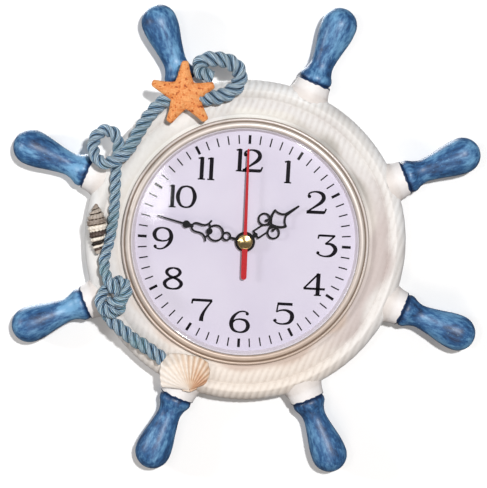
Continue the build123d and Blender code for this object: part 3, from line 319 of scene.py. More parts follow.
def makeRope():
    line, along = evenly(ropeRoute(), rope["step"])
    radius = np.interp(along / along[-1], *zip(*rope["thickness"]))
    radius *= 1 + 0.02 * np.sin(along * 0.9) + 0.015 * np.sin(along * 0.37 + 1)  # laid by hand, so never quite even
    line[:, 1] -= 0.8 * (radius - rope["modelRadius"]).clip(0)  # a thicker stretch lies further out on the rim
    ahead = np.gradient(line, axis=0)
    ahead /= np.linalg.norm(ahead, axis=1)[:, None]
    across = np.cross(ahead[0], (0, 1, 0))
    frames = []
    for way in ahead:
        across = across - way * np.dot(across, way)
        across /= np.linalg.norm(across)
        frames.append((across, np.cross(way, across)))
    first, second = np.array(frames).swapaxes(0, 1)
    rows, sides = len(line), rope["sides"]
    ring = around(sides)
    thick = rope["strandShare"] * radius
    strandFaces = capEnds(gridFaces(rows, sides, True), rows, sides)
    points, faces, uv = [], [], []
    for strand in range(3):
        turn = (2 * pi * along / rope["layLength"] + strand * 2 * pi / 3)[:, None]
        out = np.cos(turn) * first + np.sin(turn) * second
        other = np.cos(turn) * second - np.sin(turn) * first
        centre = line + out * (radius - thick)[:, None]
        skin = np.cos(ring)[:, None] * out[:, None] + np.sin(ring)[:, None] * other[:, None]
        points.append(centre[:, None] + thick[:, None, None] * skin)
        faces += shifted(strandFaces, strand * rows * sides)
        uv.append(np.stack(np.broadcast_arrays(along[:, None], thick[:, None] * ring + strand * 37.0), 2))
    crestPaintedLight = np.tile(0.5 + 0.5 * np.cos(ring), 3 * rows)
    points, uv = np.reshape(points, (-1, 3)) * mm, np.reshape(uv, (-1, 2))
    piece = makeMesh("rope_strands", points, faces, dyedCottonRope(), shares={"crestPaintedLight": crestPaintedLight}, uv=uv)
    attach(piece, "base")
    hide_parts("rope")


makeRope()
print("rope laid")


# Rim: cast resin, painted white, with straight ribs carved across two rounded bands

rim = dict(
    # radii, and heights over the flat back
    bore=74.6,
    lip=80.5,
    lipHeight=22.5,
    innerCrest=23.6,
    groove=91.2,
    grooveHeight=22.3,
    outerCrest=(95.8, 24.0),
    outer=102.2,
    edgeHeight=11.0,
    edgeRadius=2.5,
    steps=1440,
    ribPitch=4.2,  # mm between ribs
    ribLean=0.3,  # mm to the right for each mm up, the same all round
    ribDepth=0.3,  # mm
    chips=0.12,  # mm of unevenness from the hand painting
    base="#E2DFDE",  # the white under the patches of painted light and shade
    # patches of painted light and shade over the white, where the light falls brighter or darker: radius from and to
    # in mm, degrees clockwise from the top, degrees to each side, colour, strength
    paintedLightPatches=dict(
        outerWhite=(91, 110, 0, 180, "#E8E6E4", 1.0),
        outerRight=(91, 110, 100, 45, "#F0EDEB", 1.0),
        edgeWhite=(99, 110, 0, 180, "#FAFAFA", 1.0),
        lipCream=(70, 82, 0, 180, "#E6E0DB", 1.0),
        lipWhite=(70, 82, 332, 45, "#F0EFEA", 1.0),
        # the bezel's painted shadow on the lip
        lipGrey=(70, 82, 45, 22, "#B9B6B1", 1.0),
        lipPeach=(70, 82, 166, 66, "#CDB8AA", 0.9),
        innerPink=(81, 91, 108, 40, "#CBBEBB", 0.9),
        lowerWarm=(81, 103, 178, 38, "#F1E4D7", 0.7),
        innerLeft=(81, 91, 312, 36, "#EDECEA", 1.0),
    ),
    paintedLightEdge=2.8,  # mm over which a patch fades out
    paintWander=7.0,  # mm that the patches stray
    patchScale=0.045,  # turns of the straying per mm
    chipScale=0.09,
    crestPaintedLight="#FFFFFF",
    flat="#F2F0EE",
    shade="#D2CBC6",
    hollow="#B3A9A2",
)
boss = dict(
    root=11.9,
    end=10.9,
    start=97.0,
    base=110.0,
    axisHeight=12.0,
    flare=4.3,  # mm that the boss widens where it leaves the rim
    flareStart=98.5,
    flareFade=3.1,
    seam=102.6,  # where the boss meets the rim's edge, mm from the axis
    endRings=[(0.15, 0.25), (0.6, 0.0), (2.4, 0.0)],  # mm in from the end's radius, mm back from the base
    white="#F4F1F1",
    # painted shade at the root, where the boss leaves the rim
    foot="#E6DFDB",
    steps=72,
)
handles = dict(
    count=8,
    turn=-2.1,
    base=110.0,
    tip=160.0,
    bulb=11.4,
    # share of the length, radius in mm
    profile=[
        (0.0, 9.6), (0.02, 10.15), (0.05, 10.4), (0.09, 9.95), (0.15, 8.35), (0.23, 7.4), (0.32, 7.75),
        (0.46, 9.05), (0.6, 10.55), (0.7, 11.25), (0.772, 11.4),
    ],
    steps=96,
    unevenness=0.0176,  # share of the radius
    # painted light: how much paler each handle is coloured at its base and on its bulb, for how the light falls on it
    basePaintedLight=[0.0, -0.05, -0.1, -0.12, -0.12, 0.16, 0.17, 0.02],
    bulbPaintedLight=[0.06, -0.04, -0.09, -0.05, -0.06, 0.0, -0.07, 0.03],
    deep="#122E54",
    mid="#315F90",
    light="#72A6CE",
    paintedGlint="#93C4DA",
)


def whitePaintedResin():
    # cast polyresin under brushed white emulsion: chalky satin, the hollows darker, partly a grey-beige wash
    # and partly painted shade; the crests painted lighter, and patches of painted light and shade laid over the white
    material, add, shader, spot = newMaterial("White painted resin", Roughness=0.55, Specular_IOR_Level=0.4)
    brush = add("TexNoise", {"Vector": spot, "Scale": 420.0, "Detail": 4.0, "Roughness": 0.6})
    carveAndPaintedShade = add("Attribute", attribute_name="carveAndPaintedShade")
    mottled = add("Math", {0: brush, 1: 0.35, 2: carveAndPaintedShade.outputs["Fac"]}, operation="MULTIPLY_ADD")
    lifted = add("Math", {0: mottled, 1: 0.17}, operation="SUBTRACT")
    tone = add("ValToRGB", {"Fac": lifted}, [
        (0.0, rim["hollow"]), (0.3, rim["shade"]), (0.62, rim["flat"]), (1.0, rim["crestPaintedLight"]),
    ])
    toneAndPaintedLight = add("Attribute", attribute_name="toneAndPaintedLight")
    toneWithPaintedLight = add("MixRGB", {"Fac": 1.0, "Color1": tone, "Color2": toneAndPaintedLight.outputs["Color"]}, blend_type="MULTIPLY")
    feed(shader, {"Base Color": toneWithPaintedLight})
    feed(shader, {"Normal": add("Bump", {"Height": brush, "Distance": 0.12 * mm})})
    return material


rimPaint = whitePaintedResin()


def handleAngle(index):
    return handles["turn"] + 360 * (index + 0.5) / handles["count"]


def rimProfile():
    bore, lip, groove, outer, edge = (rim[key] for key in ("bore", "lip", "groove", "outer", "edgeRadius"))
    lipHeight, low, side = rim["lipHeight"], rim["grooveHeight"], rim["edgeHeight"]
    peak, top = rim["outerCrest"]
    bend = sqrt(0.5)
    points = [(bore, 0.0), (bore, 8.0), (bore, 16.0), (bore, 22.0), (bore + 0.15, 22.35), (bore + 0.5, lipHeight)]
    points += [(r, lipHeight) for r in np.linspace(bore + 1.2, lip - 0.3, 6)]
    points += arcThrough((lip, lipHeight), ((lip + groove) / 2, rim["innerCrest"]), (groove, low), 20)
    points += arcThrough((groove, low), ((groove + peak) / 2, (low + 3 * top) / 4), (peak, top), 9)[1:]
    shoulder = (peak + (outer - peak) * bend, side + (top - side) * bend)
    points += arcThrough((peak, top), shoulder, (outer, side), 22)[1:]
    points += [(outer, h) for h in (8.5, 5.5, edge)]
    corner = (outer - edge * (1 - bend), edge * (1 - bend))
    return points + arcThrough((outer, edge), corner, (outer - edge, 0.0), 7)[1:]


def rimWash(x, y):
    # the colour at each point: the white, then each patch of painted light and shade over it with strayed edges
    near = rim["patchScale"]
    stray = [[noise.noise((px * near, py * near, z)) for px, py in zip(x, y)] for z in (3.0, 30.0)]
    x, y = np.array((x, y)) + rim["paintWander"] * np.array(stray)
    radius, turn = np.hypot(x, y), np.degrees(np.arctan2(x, y))
    colours = np.tile(linear(rim["base"]), (len(x), 1))
    edge = rim["paintedLightEdge"]
    for low, high, middle, spread, tone, strength in rim["paintedLightPatches"].values():
        share = strength * smoothStep(low - edge, low + edge, radius) * (1 - smoothStep(high - edge, high + edge, radius))
        if spread < 180:
            share = share * (1 - smoothStep(0.5 * spread, 1.5 * spread, np.abs((turn - middle + 180) % 360 - 180)))
        colours += share[:, None] * (np.array(linear(tone)) - colours)
    return colours


def makeRim():
    profile = rimProfile()
    steps = rim["steps"]
    points = turnedPoints(profile, steps)
    x, y, z = points.T
    radius = np.hypot(x, y)
    # the ribs run straight across the whole clock, leaning a little, so they cross its sides at a slant
    phase = (x - rim["ribLean"] * y) / rim["ribPitch"]
    band = np.where(radius > rim["groove"], 0.32, 0.0)  # the outer band's ribs are set off from the inner band's
    wave = (0.5 + 0.5 * np.cos(2 * pi * (phase + band))) ** 0.8
    near = np.minimum(smoothStep(rim["lip"], rim["lip"] + 2.2, radius), 1 - 0.85 * bell(radius, rim["groove"], 0.9))
    fade = near * smoothStep(9.0, 15.0, z)
    # the ribs are worn off the inner band on the right, and painted over at the upper left
    wearAndPaintedLight = 1 - 0.75 * smoothStep(30, 70, x) * (radius < rim["groove"]) * (1 - smoothStep(35, 75, np.abs(y)))
    wearAndPaintedLight *= 1 - 0.85 * smoothStep(15, 45, -x) * smoothStep(-75, -35, y)
    wearAndPaintedLight *= 1 - 0.3 * smoothStep(40, 80, x) * (radius > rim["groove"])
    chipped = [noise.noise(spot) for spot in points[::4] * rim["chipScale"]]
    uneven = np.repeat(chipped, 4) * rim["chips"]
    sunk = rim["ribDepth"] * fade * wearAndPaintedLight * (1 - wave)
    points[:, 2] += uneven * (z > 21) - sunk * smoothStep(10, 20, z)
    points[:, :2] *= (1 - 0.6 * sunk * (radius > 97) / radius)[:, None]
    # painted light and shade: rib crests lighter, hollows darker (partly wash, partly painted shade), the lip painted
    # lighter
    carveAndPaintedShade = 0.66 + 0.13 * (2 * wave - 1) * fade * wearAndPaintedLight + 0.22 * (radius < rim["lip"] + 0.5) * (z > 20)
    # painted shade along the groove between the bands, and a thin ring of painted shadow round the bezel's foot
    carveAndPaintedShade -= (0.12 * bell(radius, rim["groove"], 1.3) + 0.3 * bell(radius, 79.0, 0.5)) * (z > 20)
    shares, colours = {"carveAndPaintedShade": carveAndPaintedShade.clip(0, 1)}, {"toneAndPaintedLight": rimWash(x, y)}
    faces = gridFaces(len(profile), steps, True)
    piece = makeMesh("rim_casting", toFrame(points), faces, rimPaint, shares=shares, colours=colours)
    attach(piece, "base")
    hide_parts("wheel_rim")
    print("rim cast:", len(faces), "faces")


makeRim()


rimBack = dict(
    plate=(-15.15, 15.15, 79.85, 98.15, 1.0),  # left, right, low, high, depth: the recess for the hanger plate
    pocket=(-6.0, 6.0, 82.0, 98.0, 7.0),  # the hollow for the nail's head
    toneAndPaintedLight="#D8D4D0",
)


def makeRimBack():
    # the flat back, with the two recesses let in
    curve = bpy.data.curves.new("rimBack", "CURVE")
    curve.dimensions = "2D"
    curve.fill_mode = "BOTH"
    left, right, low, high, depth = rimBack["plate"]
    rings = [
        [clockwise(rim["outer"] - rim["edgeRadius"], a) for a in np.arange(0, 360, 1.0)],
        [clockwise(rim["bore"], a) for a in np.arange(0, 360, 1.0)],
        [(left, low), (right, low), (right, high), (left, high)],
    ]
    for ring in rings:
        spline = curve.splines.new("POLY")
        spline.points.add(len(ring) - 1)
        for spot, (x, y) in zip(spline.points, ring):
            spot.co = (x, y, 0, 1)
        spline.use_cyclic_u = True
    holder = bpy.data.objects.new("rimBack", curve)
    scene.collection.objects.link(holder)
    flat = bpy.data.meshes.new_from_object(holder)
    points = [tuple(v.co) for v in flat.vertices]
    faces = [tuple(p.vertices) for p in flat.polygons]
    bpy.data.objects.remove(holder)

    def walls(box, back, front):
        a, b, c, d = box
        start = len(points)
        for z in (back, front):
            points.extend([(a, c, z), (b, c, z), (b, d, z), (a, d, z)])
        faces.extend([(start + i, start + (i + 1) % 4, start + 4 + (i + 1) % 4, start + 4 + i) for i in range(4)])
        return start + 4

    start = walls((left, right, low, high), 0, depth)
    inner = walls(rimBack["pocket"][:4], depth, rimBack["pocket"][4])
    mouth = inner - 4
    faces.extend([(start + i, start + (i + 1) % 4, mouth + (i + 1) % 4, mouth + i) for i in range(4)])
    faces.append((inner, inner + 1, inner + 2, inner + 3))
    shares, colours = {"carveAndPaintedShade": [0.6] * len(points)}, {"toneAndPaintedLight": [linear(rimBack["toneAndPaintedLight"])] * len(points)}
    piece = makeMesh("rim_back", toFrame(points), faces, rimPaint, smooth=False, shares=shares, colours=colours)
    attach(piece, "base")


makeRimBack()


def handleTurn(index):
    # turns a piece drawn along +Z onto a handle's line: its y then points to the viewer
    angle = radians(handleAngle(index))
    along = Vector((sin(angle), 0, cos(angle)))
    out = Vector((0, -1, 0))
    side = out.cross(along)
    origin = Vector(toFrame((0, 0, boss["axisHeight"]))[0])
    turn = Matrix((side, out, along)).transposed().to_4x4()
    return Matrix.Translation(origin) @ turn


def whitePaintedBoss():
    # the same brushed white, with the handle's blue lapping over its end in a hand-painted edge
    material = rimPaint.copy()
    material.name = "White painted boss"
    add = functools.partial(addNode, material.node_tree)
    shader = material.node_tree.nodes["Principled BSDF"]
    white = shader.inputs["Base Color"].links[0].from_socket
    spot = add("TexCoord").outputs["Object"]
    split = add("SeparateXYZ", {"Vector": spot})
    ragged = add("TexNoise", {"Vector": spot, "Scale": 230.0, "Detail": 2.0})
    edge = add("Math", {0: ragged, 1: 2.6 * mm, 2: split.outputs["Z"]}, operation="MULTIPLY_ADD")
    lap = add("MapRange", {"Value": edge, 1: 110.15 * mm, 2: 110.35 * mm})
    feed(shader, {"Base Color": add("MixRGB", {"Fac": lap, "Color1": white, "Color2": handles["deep"]})})
    return material


def makeBosses():
    start, base, steps = boss["flareStart"], boss["base"], boss["steps"]
    side = np.concatenate((np.linspace(boss["start"], start, 6), np.linspace(start + 0.4, base - 0.6, 26)))
    radius = np.interp(side, (rim["groove"], base), (boss["root"], boss["end"]))
    flare = boss["flare"] * np.exp(-(side - start).clip(0) / boss["flareFade"])
    # the side, then the rings that close the end
    w = np.append(side, [base - out for _, out in boss["endRings"]])[:, None]
    radius = np.append(radius, [boss["end"] - inset for inset, _ in boss["endRings"]])[:, None]
    flare = np.append(flare, [0] * len(boss["endRings"]))[:, None]
    angle = around(steps)
    x = (radius + flare * np.sin(angle) ** 2) * np.sin(angle)
    points = np.stack((x, radius * np.cos(angle), w + 0 * x), 2).reshape(-1, 3) * mm
    # painted shade in the seam where the boss meets the rim's edge
    carveAndPaintedShade = 0.74 - 0.25 * bell(w, boss["seam"], 1.2) * np.abs(np.sin(angle))
    carveAndPaintedShade[len(side):] = 0.7
    # painted shade: darker at the root, white towards the handle
    foot, white = np.array(linear(boss["foot"])), np.array(linear(boss["white"]))
    toneAndPaintedLight = np.repeat(foot + (white - foot) * smoothStep(99, 106, w), steps, axis=0)
    faces = gridFaces(len(w), steps, True)
    paint = whitePaintedBoss()
    for index in range(handles["count"]):
        piece = makeMesh(f"boss_{index + 1}", points, faces, paint, shares={"carveAndPaintedShade": carveAndPaintedShade}, colours={"toneAndPaintedLight": toneAndPaintedLight})
        piece.matrix_world = handleTurn(index)
        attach(piece, "base")


makeBosses()


def bluePearlPaint():
    # pearl paint brushed on in two coats: a deep blue ground, paler streaks along the handle, small cool painted
    # glints
    material, add, shader, spot = newMaterial("Blue pearl paint", Coat_Weight=0.2, Coat_Roughness=0.35)
    own = add("ObjectInfo")
    shift = add("Math", {0: own.outputs["Random"], 1: 3.0}, operation="MULTIPLY")
    moved = add("VectorMath", {0: spot, 1: shift}, operation="ADD")
    stretch = add("Mapping", {"Vector": moved, "Scale": (1.0, 1.0, 0.42)})
    patches = add("TexNoise", {"Vector": stretch, "Scale": 115.0, "Detail": 4.0, "Roughness": 0.62, "Distortion": 0.4})
    streaks = add("TexNoise", {"Vector": stretch, "Scale": 520.0, "Detail": 3.0, "Roughness": 0.6})
    glintNoise = add("TexNoise", {"Vector": moved, "Scale": 900.0, "Detail": 2.0})
    level = add("Math", {0: streaks, 1: 0.5, 2: patches}, operation="MULTIPLY_ADD")
    # painted light: each handle paler or darker at its base and bulb
    wearAndPaintedLight = add("Attribute", attribute_name="wearAndPaintedLight")
    total = add("Math", {0: level, 1: wearAndPaintedLight.outputs["Fac"]}, operation="ADD")
    tone = add("ValToRGB", {"Fac": total}, [
        (0.5, handles["deep"]), (0.7, handles["mid"]), (0.93, handles["light"]),
    ])
    glintShare = add("ValToRGB", {"Fac": glintNoise}, [(0.64, 0.0), (0.76, 0.4)])
    feed(shader, {"Base Color": add("MixRGB", {"Fac": glintShare, "Color1": tone, "Color2": handles["paintedGlint"]})})
    feed(shader, {"Roughness": add("MapRange", {"Value": level, 3: 0.6, 4: 0.42})})
    feed(shader, {"Normal": add("Bump", {"Height": streaks, "Distance": 0.1 * mm})})
    return material


def makeHandles():
    base, tip, bulb, steps = (handles[key] for key in ("base", "tip", "bulb", "steps"))
    side = smoothThrough([(base + share * (tip - base), radius) for share, radius in handles["profile"]], 6)
    cap = np.radians(np.linspace(5, 88, 17))
    end = np.stack((tip - bulb + bulb * np.sin(cap), bulb * np.cos(cap)), 1)
    outline = np.vstack(([(base + 0.05, 4.0), (base + 0.05, 8.6)], side, end))
    rows, angle = len(outline), around(steps)
    w, r = outline.T[:, :, None]
    faces = gridFaces(rows, steps, True) + [tuple(range((rows - 1) * steps, rows * steps))]
    paint = bluePearlPaint()
    for index in range(handles["count"]):
        spots = [Vector((1.3 * sin(a) + 7.3 * index, 1.3 * cos(a), 0.078 * h)) for h in w.ravel() for a in angle]
        rough = np.reshape([noise.noise(spot) for spot in spots], (rows, steps))
        wide = r * (1 + handles["unevenness"] * rough)
        points = np.stack((wide * np.sin(angle), wide * np.cos(angle), w + 0 * wide), 2).reshape(-1, 3)
        # painted light at the base and bulb; darker still right at the base, where the handle meets the boss
        wearAndPaintedLight = handles["bulbPaintedLight"][index] * bell(w, 147, 11) + handles["basePaintedLight"][index] * bell(w, 119, 8)
        wearAndPaintedLight = np.repeat(wearAndPaintedLight - 0.25 * bell(w, base, 1.6), steps)
        piece = makeMesh(f"handle_paint_{index + 1}", points * mm, faces, paint, shares={"wearAndPaintedLight": wearAndPaintedLight})
        piece.matrix_world = handleTurn(index)
        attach(piece, "base")
        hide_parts(f"handle_{index + 1}")


makeHandles()
print("handles painted")


# Starfish: cast resin, painted orange, with rows of small spines and pits

starfish = dict(
    centre=(-42.5, 91.3),
    floor=31.0,
    arms=[(-3.0, 20.6), (69.0, 18.9), (137.0, 21.2), (209.0, 20.4), (286.0, 21.9)],  # degrees from the top, length
    # share of an arm, half width, height in mm
    section=[
        (0.0, 8.2, 4.3), (0.2, 7.1, 4.1), (0.45, 5.2, 3.5), (0.7, 3.6, 2.8), (0.9, 2.6, 2.2), (0.97, 2.1, 1.8),
        (1.0, 1.3, 1.2),
    ],
    voxel=0.36,
    spineSpacing=1.25,
    spineHeight=0.65,
    light="#EBA768",
    mid="#D97C3A",
    dark="#8E3810",
)


def orangePaintedResin():
    # matte orange over a rough cast skin: paler on the raised grains, rust red down in the pits
    material, add, shader, spot = newMaterial("Orange painted resin", Roughness=0.7)
    pit = add("Attribute", attribute_name="pit")
    patches = add("TexNoise", {"Vector": spot, "Scale": 260.0, "Detail": 4.0})
    grains = add("TexVoronoi", {"Vector": spot, "Scale": 1300.0})
    level = add("Math", {0: patches, 1: 0.5, 2: pit.outputs["Fac"]}, operation="MULTIPLY_ADD")
    tone = add("ValToRGB", {"Fac": level}, [
        (0.34, "#6E2408"), (0.48, starfish["dark"]), (0.6, starfish["mid"]), (0.82, starfish["light"]),
    ])
    feed(shader, {"Base Color": tone})
    feed(shader, {"Normal": add("Bump", {"Height": grains, "Distance": 0.25 * mm, "Strength": 0.7})})
    return material


def makeStarfish():
    ring = around(24)
    share, half, high = smoothThrough(starfish["section"], 4).T[:, :, None]
    up = np.where(np.sin(ring) > 0, high, 0.9) * np.sin(ring)
    z = starfish["floor"] + 0.9 + 0.78 * up + 0.35 * np.sin(ring).clip(0) ** 6
    arm = capEnds(gridFaces(len(share), 24, True), len(share), 24)
    points, faces = [], []
    for direction, length in starfish["arms"]:
        faces += shifted(arm, len(points) * z.size)
        ux, uy = clockwise(1, direction)
        across = half * np.cos(ring) + 0.5 * np.sin(share * 3 + direction)  # each arm bends a little
        x = starfish["centre"][0] + ux * share * length + uy * across
        y = starfish["centre"][1] + uy * share * length - ux * across
        points.append(np.stack((x, y, z), 2))
    piece = makeMesh("starfish_cast", toFrame(points), faces, orangePaintedResin())
    remesh = piece.modifiers.new("fuse", "REMESH")
    remesh.mode, remesh.voxel_size = "VOXEL", starfish["voxel"] * mm
    soften = piece.modifiers.new("soften", "SMOOTH")
    soften.factor, soften.iterations = 0.5, 4
    fused = bpy.data.meshes.new_from_object(piece.evaluated_get(bpy.context.evaluated_depsgraph_get()))
    piece.modifiers.clear()
    piece.data = fused
    fused.materials.clear()
    fused.materials.append(bpy.data.materials["Orange painted resin"])
    fused.polygons.foreach_set("use_smooth", [True] * len(fused.polygons))
    pits = []
    for vertex in fused.vertices:
        spot = Vector(vertex.co) / mm
        top = max(0.0, -vertex.normal.y)
        near = noise.voronoi(spot / starfish["spineSpacing"])[0][0]
        bump = max(0.0, 1 - near * 1.9) * top
        rough = noise.noise(spot * 0.55)
        vertex.co += vertex.normal * mm * (starfish["spineHeight"] * bump + 0.12 * rough)
        pits.append(0.28 + 0.25 * bump + 0.16 * (rough > -0.32))
    fused.attributes.new("pit", "FLOAT", "POINT").data.foreach_set("value", np.array(pits, np.float32))
    low = min(v.co.y for v in fused.vertices)
    floor = toFrame((0, 0, starfish["floor"]))[0][1]
    for vertex in fused.vertices:
        vertex.co.y = min(vertex.co.y, floor)
    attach(piece, "base")
    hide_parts("starfish")
    print("starfish made:", len(fused.polygons), "faces, front at", round(low, 4))


makeStarfish()


# Whelk: a spiral shell in cast resin, painted in bands

whelk = dict(
    top=(-94.9, 19.4),
    tilt=5.0,
    axisHeight=30.5,
    length=31.5,
    # share of the length from the point of the spire, radius in mm
    profile=[
        (0.0, 0.6), (0.05, 1.6), (0.12, 3.0), (0.2, 4.4), (0.28, 5.6), (0.36, 6.3), (0.44, 6.1), (0.55, 5.4),
        (0.67, 4.6), (0.79, 3.8), (0.88, 3.2), (0.95, 2.0), (1.0, 1.2),
    ],
    grooves=[0.1, 0.19, 0.3, 0.41, 0.55, 0.655, 0.75, 0.815, 0.885],
    grooveWidth=0.011,
    climb=0.15,  # how far a groove winds down in one turn, share of the length
    knobs=13,
    beadPitch=0.078,
    cream="#F2E9DC",
    stone="#C0B4A8",
    taupe="#8E7F74",
    umber="#51413A",
    black="#261D17",
    # the paint from the point of the spire down: share of the length, which paint
    bands=[
        (0.0, "taupe"), (0.2, "stone"), (0.35, "taupe"), (0.4, "taupe"), (0.415, "cream"), (0.54, "cream"),
        (0.555, "umber"), (0.65, "umber"), (0.665, "cream"), (0.745, "cream"), (0.76, "black"), (0.81, "black"),
        (0.82, "cream"), (0.88, "cream"), (0.89, "umber"), (0.925, "umber"), (0.94, "stone"), (1.0, "stone"),
    ],
    rows=180,
    steps=128,
)


def bandedShellPaint():
    # resin cast from a shell, painted by hand: cream ribs, umber bands, near-black in the grooves, light gloss
    material, add, shader, spot = newMaterial("Banded shell paint", Roughness=0.45)
    band = add("Attribute", attribute_name="band")
    relief = add("Attribute", attribute_name="relief")
    patches = add("TexNoise", {"Vector": spot, "Scale": 500.0, "Detail": 4.0})
    tone = add("ValToRGB", {"Fac": band.outputs["Fac"]}, [
        (at, whelk[paint]) for at, paint in whelk["bands"]
    ])
    mixed = add("Math", {0: patches, 1: 0.7, 2: relief.outputs["Fac"]}, operation="MULTIPLY_ADD")
    toneAndPaintedLight = add("ValToRGB", {"Fac": mixed}, [(0.38, "#2E2520"), (0.55, "#BEB2A5"), (0.74, "#FFFFFF")])
    toneWithPaintedLight = add("MixRGB", {"Fac": 1.0, "Color1": tone, "Color2": toneAndPaintedLight}, blend_type="MULTIPLY")
    feed(shader, {"Base Color": toneWithPaintedLight})
    feed(shader, {"Normal": add("Bump", {"Height": patches, "Distance": 0.15 * mm})})
    return material


def makeWhelk():
    rows, steps = whelk["rows"], whelk["steps"]
    share, angle = meshGrid(np.linspace(0, 1, rows), np.linspace(-pi, pi, steps, endpoint=False))
    radius = np.interp(share, *zip(*whelk["profile"]))
    wound = share + whelk["climb"] * angle / (2 * pi)
    cut = sum(bell(wound, groove, whelk["grooveWidth"]) for groove in whelk["grooves"])
    knob = 0.5 + 0.5 * np.cos(whelk["knobs"] * angle + 9 * share)
    beads = knob * (0.5 + 0.5 * np.cos(2 * pi * wound / whelk["beadPitch"]))
    strength = smoothStep(0.02, 0.12, share) * (1 - smoothStep(0.8, 0.95, share))  # smooth at both ends
    raised = (0.55 * beads - 0.25) * strength * np.minimum(1, radius / 3)
    wide = np.maximum(radius * (1 - 0.16 * cut) + raised, 0.3)
    along, across = share * whelk["length"], wide * np.sin(angle)
    # the axis runs down the clock, tilted so that its foot is further right
    tilt = radians(whelk["tilt"])
    x = whelk["top"][0] + across * cos(tilt) + along * sin(tilt)
    y = whelk["top"][1] + across * sin(tilt) - along * cos(tilt)
    points = np.stack((x, y, whelk["axisHeight"] + wide * np.cos(angle)), 2)
    relief = 0.35 + 0.4 * beads - 0.45 * np.minimum(cut, 1) + 0.1 * (1 - strength)
    faces = capEnds(gridFaces(rows, steps, True), rows, steps)
    shares = {"band": wound.clip(0, 1), "relief": relief}
    piece = makeMesh("whelk_cast", toFrame(points), faces, bandedShellPaint(), shares=shares)
    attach(piece, "base")
    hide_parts("whelk_shell")


makeWhelk()


# Scallop: a ribbed fan in cast resin, cream shading to peach

scallop = dict(
    hinge=(-29.8, -96.6),
    floor=24.25,
    direction=100.0,  # degrees anticlockwise from the right, the way the fan opens
    halfSpread=76.0,
    # how far the fan reaches from its hinge: degrees anticlockwise from the right, mm
    reach=[
        (20, 8.5), (30, 12.0), (44, 17.0), (61, 21.4), (80, 22.3), (95, 22.8), (109, 24.6), (122, 27.0),
        (132, 27.4), (148, 23.4), (162, 20.4), (178, 18.0),
    ],
    ribs=15,
    dome=3.9,
    ribDepth=0.6,
    rows=70,
    columns=360,
    earGrid=(10, 12),
    earThickness=0.7,
)


def shadedScallopPaint():
    # thin washes over a cast shell: chalk cream to one side, peach to the other, tan in the grooves
    material, add, shader, spot = newMaterial("Scallop paint")
    side = add("Attribute", attribute_name="side")
    ribs = add("Attribute", attribute_name="rib")
    patches = add("TexNoise", {"Vector": spot, "Scale": 160.0, "Detail": 3.0})
    spread = add("Math", {0: patches, 1: 0.4, 2: side.outputs["Fac"]}, operation="MULTIPLY_ADD")
    tone = add("ValToRGB", {"Fac": spread}, [(0.3, "#F0E8E0"), (0.6, "#E8DACC"), (0.86, "#DFC2A8"), (1.0, "#D0A484")])
    groove = add("ValToRGB", {"Fac": ribs.outputs["Fac"]}, [(0.0, "#C9A98C"), (0.35, "#F0E4D8"), (1.0, "#FFFFFF")])
    toneWithPaintedLight = add("MixRGB", {"Fac": 1.0, "Color1": tone, "Color2": groove}, blend_type="MULTIPLY")
    feed(shader, {"Base Color": toneWithPaintedLight})
    feed(shader, {"Normal": add("Bump", {"Height": patches, "Distance": 0.1 * mm})})
    return material


